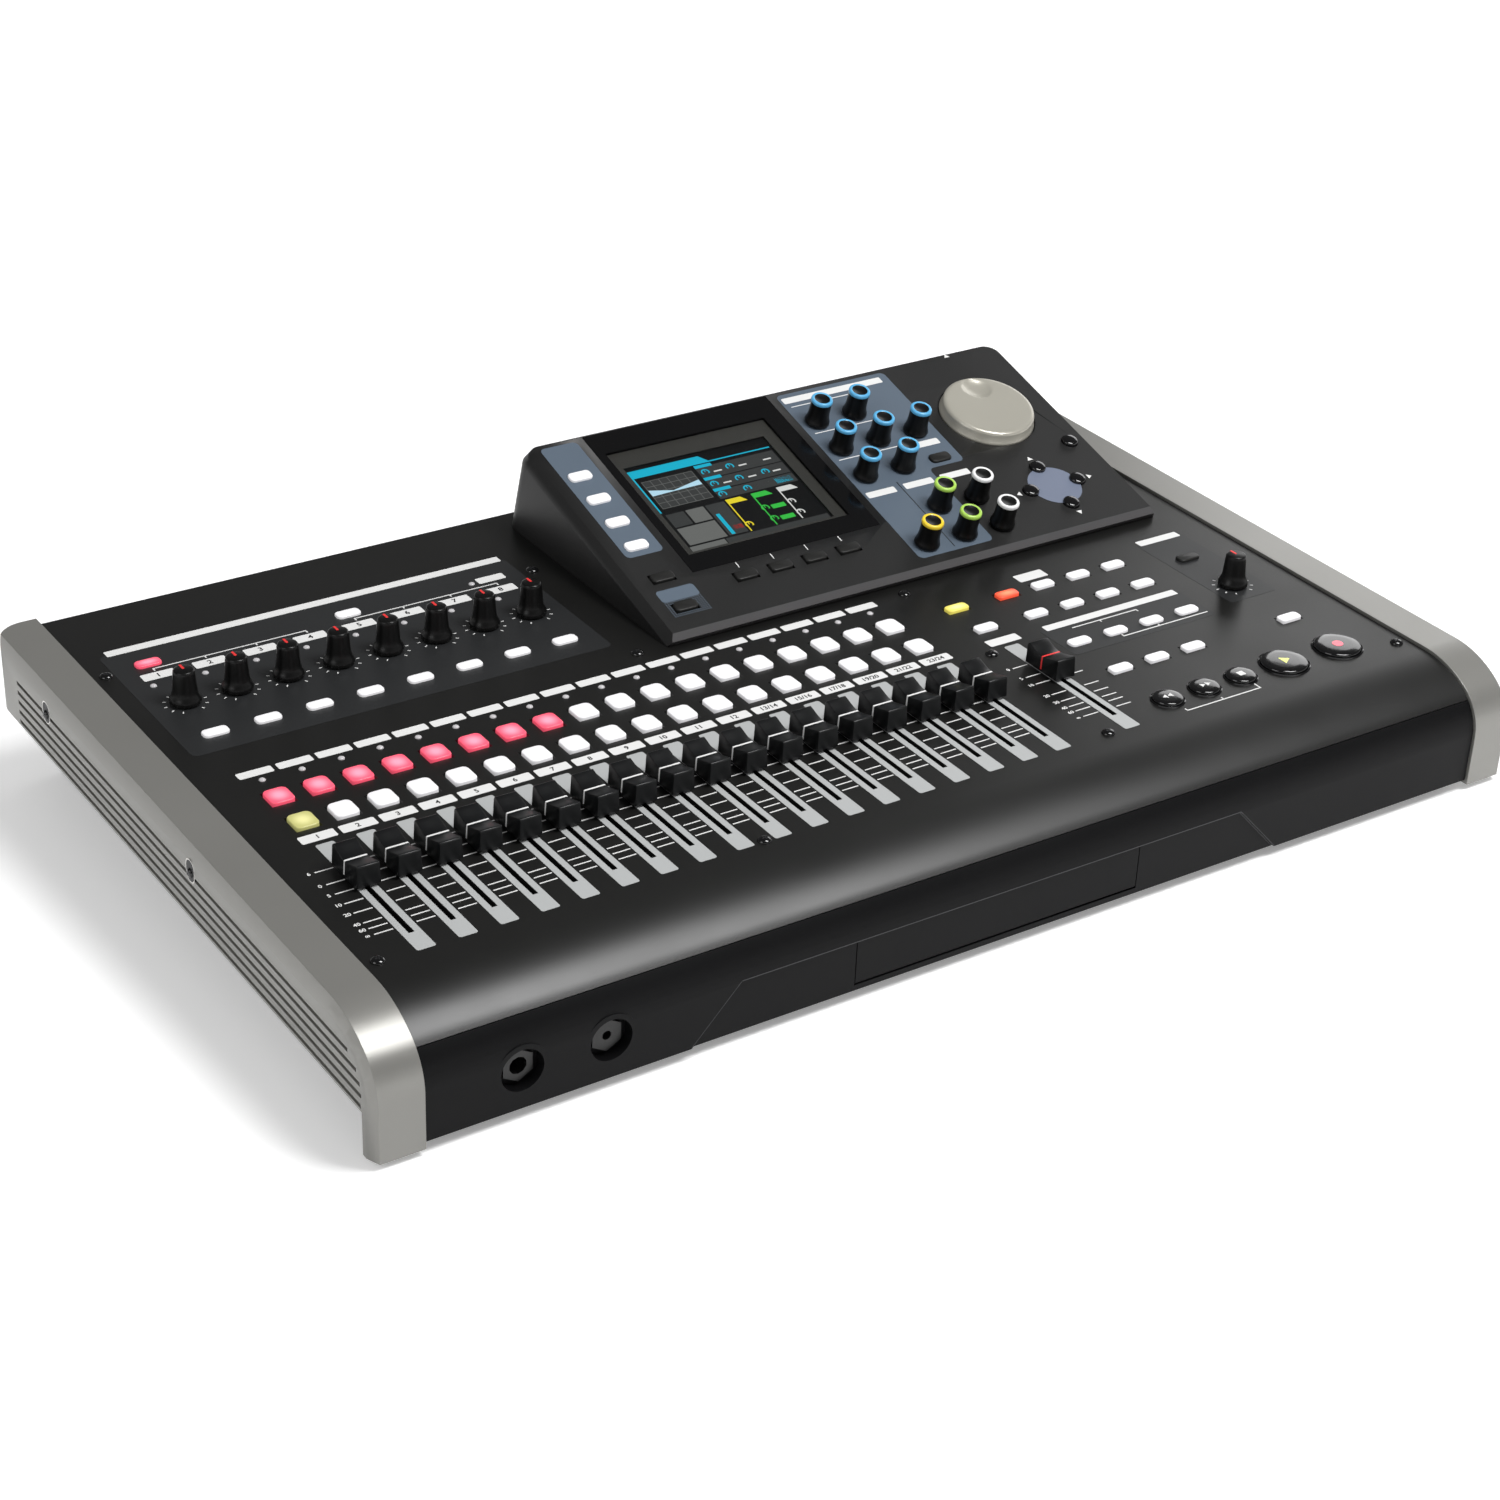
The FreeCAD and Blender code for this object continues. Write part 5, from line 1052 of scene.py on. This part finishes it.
# %% [markdown]
# The frame is one glossy plate with a rectangular hole, and the clear pane closes the hole a little lower
# down. The grey surround lies under both, round the picture.

# %% screen frame
tool = bmesh.new()
surround(tool, housing, (33.0, 38.8, 116.0, 111.2), (37.6, 42.6, 108.8, 100.2), GROUND, 1.0, -1.49, 0.2)
piece("screen_surround", tool, [surround_grey])
BEZEL, PANE = range(2)
tool = bmesh.new()
surround(tool, housing, (30.1, 30.1, 123.9, 123.4), (34.2, 40.2, 114.8, 110.2), BEZEL, 0.8, -1.2, 1.25)
mark(tool, housing, (34.2, 40.2, 114.8, 110.2), PANE, 0, -1.05, 0.7)
finishes = [bezel_black, pane_clear.material]
piece("screen_frame", tool, finishes, "case", ["screen_window"])

# %% [markdown]
# The back isn't in the photograph, so it has what such a recorder needs: eight combined microphone and line
# sockets, four line jacks with hexagonal nuts, two pairs of phono sockets, two round data ports, a small
# data port and the power inlet. Their metal rims, pins and latches are trimmed here.

# %% socket trim tools
def collar(inside, outside, high, steps=32, soft=0.15):
    """A short tube with a softened front edge."""
    section = [(inside, 0), (outside, 0), (outside, high - soft), (outside - soft, high), (inside, high)]
    return done(turned(section, steps, closed=True))


def around(target, shape, x, y, reach, turns, z, finish):
    """Stamps a shape at several places round a middle."""
    for turn in turns:
        away = math.radians(turn)
        place = at(rear, x + reach * math.cos(away), y + reach * math.sin(away), z)
        stamp(target, shape, place, finish)


inner_half = 237.6  # half the width between the end panels
socket_row = 33.0
combo_xs = [21.0 - inner_half + 27.5 * index for index in range(8)]
line_xs = [244.0 - inner_half, 264.0 - inner_half]
pair_rows = [socket_row - 9.0, socket_row + 9.0]
phono_xs = [line_xs[1] + 22.0, line_xs[1] + 37.0]
midi_xs = [phono_xs[1] + 24.0, phono_xs[1] + 46.0]
usb_x = midi_xs[1] + 22.0
inlet_x = usb_x + 16.0
print("combined sockets at", [round(x, 1) for x in combo_xs])

# %% [markdown]
# Each kind of socket is put together from a few collars and plates, and then stamped at its places. The
# rear frame looks from behind, so the places along X change their sign. A row of screws closes the foot
# of the wall.

# %% socket trim
SOCKET, STEEL, SHADOW, RED_RING, WHITE_RING = range(5)
tool = bmesh.new()
mouth, throat, pin = collar(9.95, 11.4, 1.1, 48), collar(3.45, 4.7, 1.0), spot(2.3, 0.25, 16)
latch = plaque(5.0, 3.0, 0.9, 1.5)
small_dome = [(0, 0), (1.9, 0), (1.9, 0.3), (1.5, 0.8), (0.8, 1.0), (0, 1.02)]
small_screw = (done(turned(small_dome, 20)), plaque(1.9, 0.45, 0.1, 0.1), 0.95)
recess = -1.98
for x in combo_xs:
    stamp(tool, mouth, at(rear, -x, socket_row), SOCKET)
    stamp(tool, throat, at(rear, -x, socket_row, recess), STEEL)
    stamp(tool, latch, at(rear, -x, socket_row + 10.4), STEEL)
    around(tool, pin, -x, socket_row, 7.0, (30, 150, 270), recess, STEEL)
    for side in (-1, 1):
        fasten(tool, small_screw, rear, 10.6 * side - x, socket_row + 10.6 * side, 0, 15, (STEEL, SHADOW))
nut, thread = collar(5.2, 7.6, 1.75, 6, 0.3), collar(3.45, 4.6, 3.0, 24)
# The dark disc in each phono socket is painted shade filling its bore, as the other SHADOW plates are in
# holes and recesses.
sleeve, plug, bore_shade = collar(2.9, 4.35, 9.3, 24), collar(1.6, 2.95, 9.05, 24), spot(3.2, 9.03, 16)
for x in line_xs:
    for z in pair_rows:
        stamp(tool, nut, at(rear, -x, z, 0, 30), STEEL)
        stamp(tool, thread, at(rear, -x, z), STEEL)
for x in phono_xs:
    for z, ring_colour in zip(pair_rows, (RED_RING, WHITE_RING)):
        stamp(tool, sleeve, at(rear, -x, z), STEEL)
        stamp(tool, plug, at(rear, -x, z), ring_colour)
        stamp(tool, bore_shade, at(rear, -x, z), SHADOW)
port, hole = collar(6.6, 7.7, 1.5, 40), spot(1.3, 0.12, 12)
for x in midi_xs:
    stamp(tool, port, at(rear, -x, socket_row), STEEL)
    around(tool, hole, -x, socket_row, 4.4, (0, -45, -90, -135, -180), 1.0, SHADOW)
    mark(tool, rear, (-x - 1.6, socket_row + 4.6, 1.6 - x, socket_row + 6.8), SHADOW, 0.3, 1.0, 0.12)
outer = (-usb_x - 5.2, socket_row - 2.9, 5.2 - usb_x, socket_row + 2.9)
inner = (-usb_x - 4.2, socket_row - 1.9, 4.2 - usb_x, socket_row + 1.9)
surround(tool, rear, outer, inner, STEEL, 0.5, 0, 0.35)
stamp(tool, collar(2.85, 4.4, 0.9), at(rear, -inlet_x, socket_row), SOCKET)
stamp(tool, spot(1.6, 6.0, 16), at(rear, -inlet_x, socket_row, -7.0), STEEL)
for x in (-222.0, -128.0, -12.5, 10.0, 92.0, 150.0, 215.0):
    fasten(tool, small_screw, rear, -x, 8.0, 0, 15, (STEEL, SHADOW))
finishes = [socket_plastic, bright_steel, dark_ink_and_painted_shade, red_ink, white_ink]
piece("socket_trim", tool, finishes)

# %% [markdown]
# Each end panel is screwed on from its side. The screws sit in short upright slots just below the top edge.
# The opening in the front has slanted ends. Along its edge a thin light line is a painted highlight, and a
# dark line below it is painted shade in the gap.

# %% side screws and front edge
left_side = panel @ turned_frame((-0.257, 0, 0), (90, "X"), (-90, "Y"))
right_side = panel @ turned_frame((0.257, 0, 0), (90, "X"), (90, "Y"))
# The dark plate in each slot is painted shade for the hollow slot, and the same finish is painted shade in
# each screw's recess.
slot_shade_plate, slot_rim = plaque(6.4, 8.6, 3.15, 0.06), plaque(7.4, 9.6, 3.6, 0.03)
SLOT_SHADE, EDGE, HEAD = range(3)
tool = bmesh.new()
for surface, way in ((left_side, -1), (right_side, 1)):
    for v, z in ((218.5, -9.2), (85.2, -8.4)):
        stamp(tool, slot_rim, at(surface, v * way, z), EDGE)
        stamp(tool, slot_shade_plate, at(surface, v * way, z), SLOT_SHADE)
        fasten(tool, small_screw, surface, v * way, z - 0.8, 0.03, 40, (HEAD, SLOT_SHADE))
piece("side_screws", tool, [dark_ink_and_painted_shade, bright_steel, gloss_black])
tool = bmesh.new()
top_half, foot_half, top_row, foot_row = 114.0, 134.0, -23.3, -44.5
# The light line is a painted highlight on the edge, and the dark line below it is painted shade in the gap.
for wide, finish, inward, base in ((0.35, GROUND, 0.0, -0.02), (0.8, INK, -0.85, -0.95)):
    low, high = top_row + inward, top_row + inward + wide
    bar = field([(-top_half, low), (top_half, low), (top_half, high), (-top_half, high)], 0.05, 0.03)
    stamp(tool, bar, at(front, 0, 0, base), finish)
    for way in (-1, 1):
        near, far = (top_half + inward) * way, (foot_half + inward) * way
        over = wide * way
        ends = [(near, top_row), (near + over, top_row), (far + over, foot_row), (far, foot_row)]
        stamp(tool, field(ends, 0.02, 0.03), at(front, 0, 0, base), finish)
piece("front_edge", tool, [painted_edge_highlight, dark_ink_and_painted_shade])

# %% [markdown]
# A plain studio: a white floor, an even pale room, a large soft lamp above the front right corner that
# draws the long highlight on the rolled nose, a weaker one on the left and one behind. The floor and the
# room are white to the camera, but light the recorder less, so nothing white burns out. What the paint
# mirrors of the room gets darker upwards, so that flat faces stay black and the edges catch the light.

# %% studio
world = bpy.data.worlds.new("studio")
bpy.context.scene.world = world
world.use_nodes = True
sky = Recipe(world.node_tree)
room_light = 0.38
rise = sky.add("ShaderNodeSeparateXYZ", None, {0: sky.add("ShaderNodeTexCoord", output="Generated")}, "Z")
mirrored = sky.ramp(rise, -0.02, 0.35, 0.9, 0.1)
unseen = room_light + sky.ray("Glossy") * (mirrored - room_light)
strength = sky.ramp(sky.ray("Camera") + sky.ray("Transmission"), 0.0, 1.0, unseen, 1.0, "LINEAR")
sky.feed(sky.tree.nodes["Background"], {"Color": (1, 1, 1, 1), "Strength": strength})

for name, place, wide, tall, power in (
    ("key_lamp", (0.38, -0.58, 1.28), 0.5, 0.75, 20.0),
    ("left_lamp", (-1.3, -0.3, 0.9), 0.8, 0.8, 5.0),
    ("back_card", (1.55, 0.8, 0.72), 0.9, 0.6, 4.0),
):
    light = bpy.data.lights.new(name, "AREA")
    light.shape = "RECTANGLE"
    light.size = wide
    light.size_y = tall
    light.energy = power
    item = show(name, light)
    item.location = place
    item.rotation_mode = "QUATERNION"
    item.rotation_quaternion = (Vector((0, 0, 0.05)) - Vector(place)).to_track_quat("-Z", "Y")

floor_finish = Finish("studio_floor", {"Roughness": 1.0, "Specular IOR Level": 0.0, "Emission Strength": 1.0})
seen = floor_finish.ray("Camera") + floor_finish.ray("Glossy") + floor_finish.ray("Transmission")
reach = floor_finish.length(floor_finish.add("ShaderNodeTexCoord", output="Object"))
shine = seen * floor_finish.ramp(reach, 0.4, 2.0, 0.25, 0.8)
pale, less_pale = (0.9, 0.9, 0.9, 1), (0.88, 0.88, 0.88, 1)
floor_finish.feed(floor_finish.shader, {
    "Base Color": floor_finish.blend(floor_finish.noise(300.0) * 0.1, pale, less_pale),
    "Emission Color": floor_finish.blend(shine, (0, 0, 0, 1), (1, 1, 1, 1)),
})
tool = bmesh.new()
bmesh.ops.create_grid(tool, x_segments=1, y_segments=1, size=6.0)
floor_mesh = bpy.data.meshes.new("studio_floor")
tool.to_mesh(floor_mesh)
tool.free()
floor_mesh.materials.append(floor_finish.material)
studio_floor = show("studio_floor", floor_mesh)
studio_floor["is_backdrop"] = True
print("studio ready")

# %% [markdown]
# Last, the size of the dressed model is measured, without the floor.

# %% finish
low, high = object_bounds()
